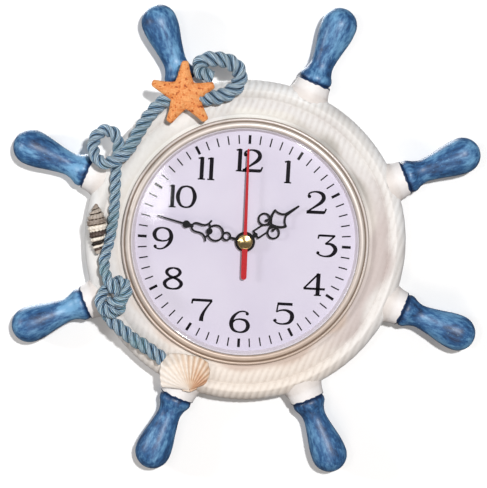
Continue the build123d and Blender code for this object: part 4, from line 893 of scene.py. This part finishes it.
def makeScallop():
    hingeX, hingeY = scallop["hinge"]
    rows, columns, floor = scallop["rows"], scallop["columns"], scallop["floor"]
    row, u = meshGrid(np.linspace(0, 1, rows), np.linspace(-1, 1, columns))
    angle = np.radians(scallop["direction"] - u * scallop["halfSpread"])
    wave = 0.5 + 0.5 * np.cos(pi * u * scallop["ribs"])
    reach = np.interp(np.degrees(angle), *zip(*scallop["reach"])) + 0.4 * wave - 0.3
    far = 0.9 + (reach - 0.9) * row
    edge = np.cos(u * pi / 2).clip(0) ** 0.45 * (np.abs(u) < 1)
    over = np.sin(pi * np.minimum(row * 0.93 + 0.07, 1)).clip(0) ** 0.62 * (row < 1)
    shown = 0.35 + 0.65 * smoothStep(-0.45, 0.15, u)  # the ribs are nearly filled with paint on the left
    carveAndPaintedShade = scallop["ribDepth"] * (1 - wave) ** 1.2 * smoothStep(0.1, 0.6, row) * edge * shown
    growth = 0.12 * np.cos(row * 38) * wave * edge  # the fine rings of the shell's growth
    high = np.maximum(0.7 + scallop["dome"] * over * edge - carveAndPaintedShade + growth, 0.5)
    side = 0.32 + 0.42 * u + 0.25 * (1 - row)
    rib = 1 - (1 - wave) * 0.85 * shown + 0.25 * (1 - smoothStep(0.05, 0.4, row))
    fan = np.stack((hingeX + far * np.cos(angle), hingeY + far * np.sin(angle), floor + high), 2)
    skirt = fan[-1] * (1, 1, 0) + (0, 0, floor)
    points = np.vstack((fan.reshape(-1, 3), skirt, (hingeX, hingeY, floor)))
    shares = {"side": np.append(side, (*side[-1], 0.6)), "rib": np.append(rib, (*rib[-1], 0.5))}
    hub, top = len(points) - 1, rows * columns
    left = [r * columns for r in range(rows)] + [top]
    right = [a + columns - 1 for a in left]
    faces = gridFaces(rows + 1, columns, False)
    faces += [(a, b, hub) for a, b in zip(left, left[1:])] + [(b, a, hub) for a, b in zip(right, right[1:])]
    faces += [(a, a + 1, hub) for a in range(columns - 1)]
    paint = shadedScallopPaint()
    piece = makeMesh("scallop_cast", toFrame(points), faces, paint, shares=shares)
    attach(piece, "base")
    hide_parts("scallop_shell")
    # the two small ears at the hinge
    rows, columns = scallop["earGrid"]
    row, column = meshGrid(np.linspace(0, 1, rows), np.linspace(0, 1, columns))
    up = -0.9 + (2.0 + 1.9 * column ** 0.6) * row + 1.3 * column
    ripple = np.cos(column * 22)
    high = floor + 1.5 - 0.7 * column + 0.14 * ripple - 0.6 * ((row == 0) | (row == 1))
    ahead = radians(scallop["direction"])
    for name, sign in (("left", 1), ("right", -1)):
        across = sign * (0.2 + 4.4 * column)
        x = hingeX + up * cos(ahead) - across * sin(ahead)
        y = hingeY + up * sin(ahead) + across * cos(ahead)
        shares = {"side": 0 * row + 0.6 - 0.12 * sign, "rib": 0.8 + 0.2 * ripple}
        points = toFrame(np.stack((x, y, high), 2))
        ear = makeMesh(f"scallop_ear_{name}", points, gridFaces(rows, columns, False), paint, shares=shares)
        thick = ear.modifiers.new("thick", "SOLIDIFY")
        thick.thickness, thick.offset = scallop["earThickness"] * mm, 0
        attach(ear, "base")


makeScallop()
print("shells made")


# Bezel: a spun metal ring with two beads, and the domed lens it holds

bezel = dict(
    # radius, height in mm, from the foot outside to the lip inside
    profile=[
        (78.55, 22.6), (78.6, 23.2), (78.6, 24.1), (78.5, 24.9), (78.2, 25.5), (77.7, 25.9), (77.2, 25.95),
        (76.8, 25.75), (76.5, 25.4), (76.35, 25.2), (76.2, 25.25), (75.95, 25.6), (75.5, 26.1), (75.0, 26.4),
        (74.4, 26.55), (73.8, 26.58), (73.3, 26.52), (72.9, 26.35), (72.65, 26.15), (72.45, 25.95), (72.25, 25.8),
    ],
    # how much painted shade lies on the ring, darkest in the crease and at the outer edge: radius in mm, share
    tones=[
        (72.6, 0.3), (73.1, 0.25), (73.8, 0.2), (74.4, 0.14), (74.9, 0.04), (75.4, 0.12), (75.9, 0.5),
        (76.25, 0.8), (76.55, 0.6), (76.9, 0.1), (77.4, -0.05), (78.0, 0.14), (78.35, 0.5), (78.6, 0.9),
    ],
    steps=360,
    inner="#C8BFC4",
    bright="#D3C9C0",
    colour="#CBC1BB",
    brown="#AC9D90",
    deepShade="#83746A",
)
lens = dict(radius=73.35, edge=24.05, rise=4.4, thickness=1.55, rings=26, steps=180, reflection=0.012, blur=0.08)


def lacqueredBezelMetal():
    # thin spun metal under a pale pearly lacquer: satin, cream on the beads, painted shade in the crease, a painted
    # # shadow at the outer edge, and a warm painted reflection towards the bottom of the clock
    material, add, shader, spot = newMaterial("Lacquered bezel metal", Metallic=0.3, Roughness=0.4)
    crease = add("Attribute", attribute_name="crease")
    marks = add("TexNoise", {"Vector": spot, "Scale": 160.0, "Detail": 4.0})
    level = add("Math", {0: marks, 1: 0.25, 2: crease.outputs["Fac"]}, operation="MULTIPLY_ADD")
    tone = add("ValToRGB", {"Fac": level}, [
        (0.04, bezel["inner"]), (0.16, bezel["bright"]), (0.34, bezel["colour"]), (0.62, bezel["brown"]),
        (0.95, bezel["deepShade"]),
    ])
    split = add("SeparateXYZ", {"Vector": spot})
    # painted reflection: warmer towards the bottom of the clock
    foot = add("MapRange", {"Value": split.outputs["Z"], 1: -0.09, 2: -0.16, 3: 0.0, 4: 0.8})
    warmPaintedReflection = add("MixRGB", {"Fac": foot, "Color1": (1, 1, 1, 1), "Color2": "#EBDACA"})
    toneWithPaintedLight = add("MixRGB", {"Fac": 1.0, "Color1": tone, "Color2": warmPaintedReflection}, blend_type="MULTIPLY")
    feed(shader, {"Base Color": toneWithPaintedLight})
    feed(shader, {"Roughness": add("MapRange", {"Value": level, 3: 0.36, 4: 0.55})})
    return material


def clearLens():
    # moulded clear glass: colourless, a thin bright reflection of the lamps and nothing else
    material, add, _, _ = newMaterial(
        "Clear lens", Base_Color="#FFFFFF", Roughness=0.03, Transmission_Weight=1.0, IOR=1.45)
    gloss = add("BsdfGlossy", {"Color": (1, 1, 1, 1), "Roughness": lens["blur"]})
    clear = add("BsdfTransparent", {"Color": (0.985, 0.985, 0.99, 1)})
    facing = add("LayerWeight", {"Blend": 0.5})
    slant = add("Math", {0: facing.outputs["Facing"], 1: 5.0}, operation="POWER")
    share = add("Math", {0: slant, 1: 0.6, 2: lens["reflection"]}, operation="MULTIPLY_ADD")
    glass = add("MixShader", {0: share, 1: clear, 2: gloss})
    feed(material.node_tree.nodes["Material Output"], {"Surface": glass})
    return material


def makeBezelAndLens():
    profile, steps = smoothThrough(bezel["profile"], 4), bezel["steps"]
    crease = np.repeat(np.interp(profile[:, 0], *zip(*bezel["tones"])), steps)
    piece = makeTurned("bezel_ring", profile, steps, lacqueredBezelMetal(), crease=crease)
    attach(piece, "base")
    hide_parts("bezel")
    ball = (lens["radius"] ** 2 + lens["rise"] ** 2) / (2 * lens["rise"])
    radius = np.linspace(0.02, lens["radius"], lens["rings"])
    dome = lens["edge"] + np.sqrt(ball**2 - radius**2) - (ball - lens["rise"])
    outline = np.vstack((np.stack((radius, dome + lens["thickness"]), 1), np.stack((radius, dome), 1)[::-1]))
    piece = makeTurned("lens_glass", outline, lens["steps"], clearLens())
    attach(piece, "base")
    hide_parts("lens")


makeBezelAndLens()
print("bezel and lens fitted")


# Dial print: numerals, sixty marks. The place under the axis, where such dials carry a word, is left bare.

dialPrint = dict(
    numeralRadius=52.2,
    numeralHeight=14.2,
    numeralStretch=1.07,
    # mm to the right and up from the even places, as printed
    shifts={
        1: (-1.6, 0.4), 2: (-1.3, 1.2), 3: (-0.3, 0.0), 4: (0.4, 1.1), 5: (0.9, 0.5), 6: (-0.4, 0.7),
        7: (1.0, -0.2), 8: (0.8, 0.0), 9: (-0.3, -1.0), 10: (3.0, 0.2), 11: (-1.5, -0.3), 12: (-1.4, -0.8),
    },
    inkSpread=(1.06, 0.36),  # strokes print wider than drawn: a share, and mm
    marksFrom=62.1,
    marksTo=67.7,
    marksShift=(-0.5, -0.2),  # mm: the ring of marks is printed off the centre
    minuteWidth=0.85,
    hourWidth=1.75,
    ink="#0D0A10",
    card="#CFC8D8",
    cardPale="#D7D1DE",
)
dialPrint["face"] = -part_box("dial")[0].y / mm + 0.02  # height of the ink, mm


def mirrored(half):
    # the same points back up on the other side
    return half + [(-x, y, w) for x, y, w in half[-2::-1]]


# Each numeral: strokes, smooth through points of x, y, width as shares of its height; straight bars; balls of x, y, radius
numerals = {
    "0": dict(strokes=[mirrored([
        (0, 0.975, 0.05), (0.235, 0.87, 0.09), (0.355, 0.5, 0.15), (0.235, 0.13, 0.09), (0, 0.025, 0.05),
    ])]),
    "1": dict(bars=[
        ((0.02, 1.0), (0.02, 0.0), 0.145), ((-0.13, 0.018), (0.17, 0.018), 0.036), ((-0.14, 0.93), (0.04, 0.985), 0.045),
    ]),
    "2": dict(
        strokes=[[
            (-0.36, 0.76, 0.06), (-0.3, 0.9, 0.05), (-0.06, 0.975, 0.05), (0.2, 0.9, 0.12), (0.29, 0.72, 0.15),
            (0.2, 0.52, 0.13),
            (-0.06, 0.3, 0.07), (-0.3, 0.12, 0.05), (-0.38, 0.03, 0.04),
        ]],
        bars=[((-0.4, 0.05), (0.34, 0.06), 0.115), ((0.34, 0.02), (0.42, 0.24), 0.05)],
        balls=[(-0.31, 0.75, 0.075)],
    ),
    "3": dict(
        strokes=[
            [(0.3, 0.94, 0.05), (0.1, 0.73, 0.05), (-0.06, 0.58, 0.05)],
            [(-0.06, 0.58, 0.05), (0.16, 0.585, 0.09), (0.34, 0.45, 0.14), (0.36, 0.27, 0.155), (0.2, 0.08, 0.1),
             (-0.05, 0.025, 0.05), (-0.28, 0.08, 0.05), (-0.4, 0.2, 0.05)],
        ],
        bars=[((-0.33, 0.955), (0.34, 0.955), 0.07), ((-0.345, 0.985), (-0.37, 0.8), 0.045)],
        balls=[(-0.35, 0.17, 0.07)],
    ),
    "4": dict(bars=[
        ((0.16, 1.0), (-0.44, 0.3), 0.055), ((-0.45, 0.3), (0.45, 0.3), 0.075), ((0.15, 1.0), (0.15, 0.0), 0.15),
        ((0.0, 0.018), (0.3, 0.018), 0.036),
    ]),
    "5": dict(
        strokes=[[
            (-0.3, 0.56, 0.045), (-0.12, 0.64, 0.05), (0.12, 0.645, 0.08), (0.33, 0.52, 0.14), (0.36, 0.3, 0.155),
            (0.24, 0.1, 0.1),
            (-0.02, 0.025, 0.05), (-0.25, 0.06, 0.05), (-0.4, 0.19, 0.05),
        ]],
        bars=[((-0.26, 0.93), (0.36, 0.93), 0.1), ((-0.24, 0.97), (-0.29, 0.55), 0.045)],
        balls=[(-0.34, 0.17, 0.075)],
    ),
    "6": dict(
        strokes=[
            [(0.0, 0.62, 0.05), (0.24, 0.55, 0.1), (0.345, 0.32, 0.15), (0.24, 0.1, 0.1), (0, 0.025, 0.05),
             (-0.26, 0.12, 0.1), (-0.365, 0.38, 0.15), (-0.3, 0.68, 0.12), (-0.1, 0.91, 0.06), (0.12, 0.975, 0.045),
             (0.3, 0.92, 0.045)],
            [(-0.33, 0.42, 0.05), (-0.2, 0.57, 0.045), (0.0, 0.62, 0.05)],
        ],
        balls=[(0.29, 0.87, 0.07)],
    ),
    "7": dict(
        strokes=[[(0.41, 0.93, 0.05), (0.26, 0.72, 0.06), (0.1, 0.45, 0.09), (0.01, 0.2, 0.14), (-0.01, 0.0, 0.165)]],
        bars=[((-0.4, 0.945), (0.42, 0.945), 0.095), ((-0.4, 0.985), (-0.43, 0.77), 0.05)],
    ),
    "8": dict(strokes=[mirrored([
        (0, 0.975, 0.05), (0.2, 0.91, 0.09), (0.28, 0.765, 0.12), (0.18, 0.62, 0.09), (0, 0.54, 0.08),
        (-0.22, 0.44, 0.1),
        (-0.35, 0.27, 0.135), (-0.24, 0.08, 0.09), (0, 0.025, 0.05),
    ])]),
}
numerals["9"] = dict(
    strokes=[[(-x, 1 - y, w) for x, y, w in stroke] for stroke in numerals["6"]["strokes"]],
    balls=[(-x, 1 - y, r) for x, y, r in numerals["6"]["balls"]],
)
numeralWidth = {"1": 0.34, "2": 0.66, "0": 0.74}


def printedInk():
    # screen-printed ink: dense matte black, a little uneven in its film
    material, add, shader, spot = newMaterial("Screen printed ink", Roughness=0.8, Specular_IOR_Level=0.1)
    grain = add("TexNoise", {"Vector": spot, "Scale": 2500.0, "Detail": 2.0})
    feed(shader, {"Base Color": add("ValToRGB", {"Fac": grain}, [(0.3, dialPrint["ink"]), (0.8, "#1B171F")])})
    return material


def makeDialPrint():
    points, faces = [], []
    high = dialPrint["face"]

    def ribbon(line, widths):
        ahead = np.gradient(line, axis=0)
        ahead /= np.maximum(np.linalg.norm(ahead, axis=1)[:, None], 1e-9)
        side = np.stack((-ahead[:, 1], ahead[:, 0]), 1) * np.asarray(widths)[:, None] / 2
        faces.extend(shifted([(2 * i, 2 * i + 1, 2 * i + 3, 2 * i + 2) for i in range(len(line) - 1)], len(points)))
        points.extend((x, y, high) for x, y in np.stack((line + side, line - side), 1).reshape(-1, 2))

    def dot(x, y, radius):
        faces.append(tuple(range(len(points), len(points) + 20)))
        points.extend((x + radius * cos(a), y + radius * sin(a), high) for a in around(20))

    for minute in range(60):
        wide = dialPrint["minuteWidth"] if minute % 5 else dialPrint["hourWidth"]
        ends = [clockwise(dialPrint[end], minute * 6) for end in ("marksFrom", "marksTo")]
        ribbon(np.array(ends) + dialPrint["marksShift"], [wide, wide])
    size, wider = dialPrint["numeralHeight"], dialPrint["numeralStretch"]
    grow, spread = dialPrint["inkSpread"]
    for hour in range(1, 13):
        cx, cy = np.array(clockwise(dialPrint["numeralRadius"], hour * 30)) + dialPrint["shifts"][hour]
        digits = str(hour)
        spans = [numeralWidth.get(d, 0.86) * wider if hour > 9 else 0 for d in digits]
        offset = -sum(spans) / 2
        for digit, span in zip(digits, spans):
            corner = np.array((cx + size * (offset + span / 2), cy - size / 2))
            scale = np.array((size * wider, size))
            offset += span + 0.06
            shape = numerals[digit]
            for stroke in shape.get("strokes", []):
                rows = smoothThrough(stroke, 6)
                ribbon(corner + scale * rows[:, :2], size * grow * rows[:, 2] + spread)
            for start, end, wide in shape.get("bars", []):
                ribbon(corner + scale * (start, end), [size * wide * grow + spread] * 2)
            for x, y, radius in shape.get("balls", []):
                dot(*(corner + scale * (x, y)), size * radius * grow)
    piece = makeMesh("dial_print", toFrame(points), faces, printedInk(), smooth=False)
    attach(piece, "base")


makeDialPrint()
print("dial printed")


# Finishes of the model's own pieces

def finish(material, *names):
    for name in names:
        mesh = nodes[name].data
        mesh.materials.clear()
        mesh.materials.append(material)


def coatedDialCard():
    # card with a lavender-white coating: smooth, the faintest tooth, no shine of its own
    material, add, shader, spot = newMaterial("Coated dial card")
    soft = add("TexNoise", {"Vector": spot, "Scale": 26.0, "Detail": 2.0})
    feed(shader, {"Base Color": add("ValToRGB", {"Fac": soft}, [(0.3, dialPrint["card"]), (0.7, dialPrint["cardPale"])])})
    tooth = add("TexNoise", {"Vector": spot, "Scale": 3000.0, "Detail": 2.0})
    feed(shader, {"Normal": add("Bump", {"Height": tooth, "Distance": 0.02 * mm})})
    return material


def speckledFinish(name, base, other, roughness, metallic=0.0, scale=900.0, depth=0.03, **inputs):
    # a moulded or plated skin: the base colour with a fine tone shift and grain
    material, add, shader, spot = newMaterial(name, Roughness=roughness, Metallic=metallic, **inputs)
    grain = add("TexNoise", {"Vector": spot, "Scale": scale, "Detail": 3.0})
    feed(shader, {"Base Color": add("ValToRGB", {"Fac": grain}, [(0.35, base), (0.7, other)])})
    feed(shader, {"Normal": add("Bump", {"Height": grain, "Distance": depth * mm})})
    return material


def brushedPlate(name, base, other, roughness, direction):
    # sheet metal drawn through rollers: fine parallel lines, brighter along them
    material, add, shader, spot = newMaterial(name, Roughness=roughness, Metallic=1.0)
    stretch = add("Mapping", {"Vector": spot, "Scale": direction})
    lines = add("TexNoise", {"Vector": stretch, "Scale": 900.0, "Detail": 3.0})
    feed(shader, {"Base Color": add("ValToRGB", {"Fac": lines}, [(0.35, base), (0.7, other)])})
    feed(shader, {"Normal": add("Bump", {"Height": lines, "Distance": 0.02 * mm})})
    return material


finish(coatedDialCard(), "dial")
finish(speckledFinish("Moulded spacer plastic", "#DCD4D9", "#E6DFE3", 0.45), "dial_spacer_ring")
# stamped steel, sprayed: matte black
blackEnamel = speckledFinish("Black hand enamel", "#09080B", "#141317", 0.6, depth=0.01, Specular_IOR_Level=0.15)
finish(blackEnamel, "hour_hand", "minute_hand")
# sprayed aluminium: clean signal red
redEnamel = speckledFinish("Red hand enamel", "#B0141C", "#C41E25", 0.5, depth=0.01, Specular_IOR_Level=0.2)
finish(redEnamel, "second_hand")
# turned and polished: warm yellow, mirror bright
brass = speckledFinish("Polished brass", "#D9B97A", "#E6CB90", 0.18, 1.0, 400.0, 0.01)
finish(brass, "second_cap", "mounting_nut", "dial_washer")
finish(speckledFinish("Black ABS pan", "#131314", "#1D1D1F", 0.5, scale=1400.0), "insert_housing")
# spark-eroded mould: fine matte grain
grained = speckledFinish("Grained black ABS", "#17171A", "#232327", 0.55, scale=2200.0, depth=0.06)
finish(grained, "movement_front_case", "movement_rear_cover")
finish(speckledFinish("Nitrile rubber", "#1B1B1B", "#262626", 0.8, scale=1500.0), "grip_ring")
finish(brushedPlate("Zinc plated steel", "#B9BBBA", "#D3D4D0", 0.32, (0.08, 1, 1)), "hanger_plate", "hanger_screws")
nickel = brushedPlate("Nickel plated spring steel", "#C6C5C2", "#E0DFDB", 0.2, (1, 1, 0.1))
finish(nickel, "battery_contact_plus", "battery_contact_minus", "clutch_spring")
finish(brushedPlate("Silicon steel lamination", "#6E7074", "#8C8E91", 0.4, (0.1, 1, 1)), "stator")
acetal = speckledFinish("Moulded acetal", "#E9E7DF", "#F3F1EA", 0.35)
finish(acetal, "intermediate_wheel", "seconds_wheel", "third_wheel", "centre_wheel", "minute_arbor", "motion_wheel")
finish(acetal, "hour_wheel", "setting_knob", "coil_bobbin")


def enamelledWire():
    # copper wire wound side by side: a painted highlight along each turn and painted shade between the turns. Real
    # wire
    # # is 0.05 mm, drawn at 0.35 mm so that it shows
    material, add, shader, spot = newMaterial("Enamelled copper wire", Roughness=0.3, Metallic=0.8)
    turns = add("TexWave", {"Vector": spot, "Scale": 0.314 / (0.35 * mm), "Distortion": 0.3}, bands_direction="X")
    feed(shader, {"Base Color": add("ValToRGB", {"Fac": turns.outputs["Fac"]}, [(0.0, "#6E2F14"), (1.0, "#D5773A")])})
    feed(shader, {"Normal": add("Bump", {"Height": turns.outputs["Fac"], "Distance": 0.08 * mm})})
    return material


def solderMaskBoard():
    # glass-epoxy board under green solder mask, with tinned tracks showing as paler lines
    material, add, shader, spot = newMaterial("Green solder mask", Roughness=0.25)
    tracks = add("TexBrick", {
        "Vector": spot, "Color1": "#155C35", "Color2": "#1A6A3E", "Mortar": "#3E9A62", "Scale": 260.0,
        "Mortar Size": 0.03,
    })
    feed(shader, {"Base Color": tracks})
    feed(shader, {"Normal": add("Bump", {"Height": tracks.outputs["Fac"], "Distance": 0.04 * mm})})
    return material


def rotorMagnet():
    # sintered ferrite below, acetal pinion above: charcoal disc, white gear
    material, add, shader, spot = newMaterial("Ferrite rotor")
    split = add("SeparateXYZ", {"Vector": spot})
    above = add("MapRange", {"Value": split.outputs["Y"], 1: -6.1 * mm, 2: -6.0 * mm})
    feed(shader, {"Base Color": add("MixRGB", {"Fac": above, "Color1": "#ECEAE2", "Color2": "#2B2B2E"})})
    return material


def printedCellSleeve():
    # shrink-wrapped cell: satin green film, a bare steel end, a silver band by the positive cap
    material, add, shader, spot = newMaterial("Shrink wrapped cell", Roughness=0.35)
    low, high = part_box("battery")
    length = high.x - low.x
    split = add("SeparateXYZ", {"Vector": spot})
    along = add("MapRange", {"Value": split.outputs["X"], 1: low.x, 2: high.x})
    tone = add("ValToRGB", {"Fac": along}, [
        (0.0, "#B9BCBE"), (0.012, "#1F5B47"), (0.72, "#23644E"), (0.725, "#C9CCCD"), (0.76, "#C9CCCD"),
        (0.765, "#23644E"), (0.965, "#1F5B47"), (0.97, "#C4C6C8"),
    ])
    tone.color_ramp.interpolation = "CONSTANT"
    metal = add("ValToRGB", {"Fac": along}, [(0.0, 1.0), (0.012, 0.0), (0.725, 0.8), (0.765, 0.0), (0.97, 1.0)])
    metal.color_ramp.interpolation = "CONSTANT"
    feed(shader, {"Base Color": tone, "Metallic": metal})
    print("battery length", round(length / mm, 1), "mm")
    return material


finish(enamelledWire(), "coil_winding")
finish(solderMaskBoard(), "circuit_board")
finish(rotorMagnet(), "rotor")
finish(printedCellSleeve(), "battery")
print("finishes set")


# Stage: a pale wall just behind the clock, seen only from its front, and soft lamps

stage = dict(
    wallSize=6.0,
    wall="#F8F8F8",
    wallLift=0.03,  # a little light of its own, so that the wall is white where no shadow falls
    world=0.14,
    lamps=[
        # name, degrees to the right, degrees up, distance m, width m, height m, power W, colour
        ("key", 11.0, 14.2, 2.8, 0.16, 0.16, 64.0, "#FFFFFF"),
        ("sideLamp", -63.0, 8.0, 1.2, 0.2, 0.2, 4.2, "#FFFFFF"),
        ("lensCard", -16.2, 3.0, 1.3, 0.12, 0.24, 0.9, "#FFFFFF"),
        ("footLamp", 5.0, -42.0, 1.2, 0.7, 0.4, 1.8, "#FFEEE0"),
        ("backLamp", 200.0, 30.0, 1.4, 0.8, 0.8, 12.0, "#FFFFFF"),
    ],
)


def makeStage():
    half = stage["wallSize"] / 2
    wall = bpy.data.meshes.new("wall")
    y = 0.0008
    wall.from_pydata([(-half, y, -half), (half, y, -half), (half, y, half), (-half, y, half)], [], [(0, 1, 2, 3)])
    material = bpy.data.materials.new("Painted wall")
    material.use_nodes = True
    tree = material.node_tree
    tree.nodes.remove(tree.nodes["Principled BSDF"])
    add = functools.partial(addNode, tree)
    rays = add("LightPath")
    side = add("NewGeometry")
    matte = add("BsdfDiffuse", {"Color": stage["wall"]})
    lift = add("Emission", {"Color": stage["wall"], "Strength": stage["wallLift"]})
    white = add("AddShader", {0: matte, 1: lift})
    gone = add("BsdfTransparent")
    seen = add("Math", {0: rays.outputs["Is Camera Ray"], 1: side.outputs["Backfacing"]}, operation="SUBTRACT")
    mixed = add("MixShader", {0: seen, 1: gone, 2: white})
    feed(tree.nodes["Material Output"], {"Surface": mixed})
    wall.materials.append(material)
    wallObject = bpy.data.objects.new("wall", wall)
    scene.collection.objects.link(wallObject)
    world = bpy.data.worlds.new("studio")
    scene.world = world
    world.use_nodes = True
    add = functools.partial(addNode, world.node_tree)
    rays = add("LightPath")
    level = add("MapRange", {"Value": rays.outputs["Is Camera Ray"], 3: stage["world"], 4: 1.0})
    feed(world.node_tree.nodes["Background"], {"Strength": level, "Color": "#FFFFFF"})
    middle = Vector(toFrame((0, 0, 20))[0])
    for name, turn, up, distance, width, height, power, colour in stage["lamps"]:
        lamp = bpy.data.lights.new(name, "AREA")
        lamp.shape, lamp.energy, lamp.size, lamp.size_y = "ELLIPSE", power, width, height
        lamp.color = linear(colour)[:3]
        holder = bpy.data.objects.new(name, lamp)
        a, e = radians(turn), radians(up)
        way = Vector((sin(a) * cos(e), -cos(a) * cos(e), sin(e)))
        holder.location = middle + way * distance
        holder.rotation_mode = "QUATERNION"
        holder.rotation_quaternion = (-way).to_track_quat("-Z", "Y")
        scene.collection.objects.link(holder)


makeStage()
print("stage lit")
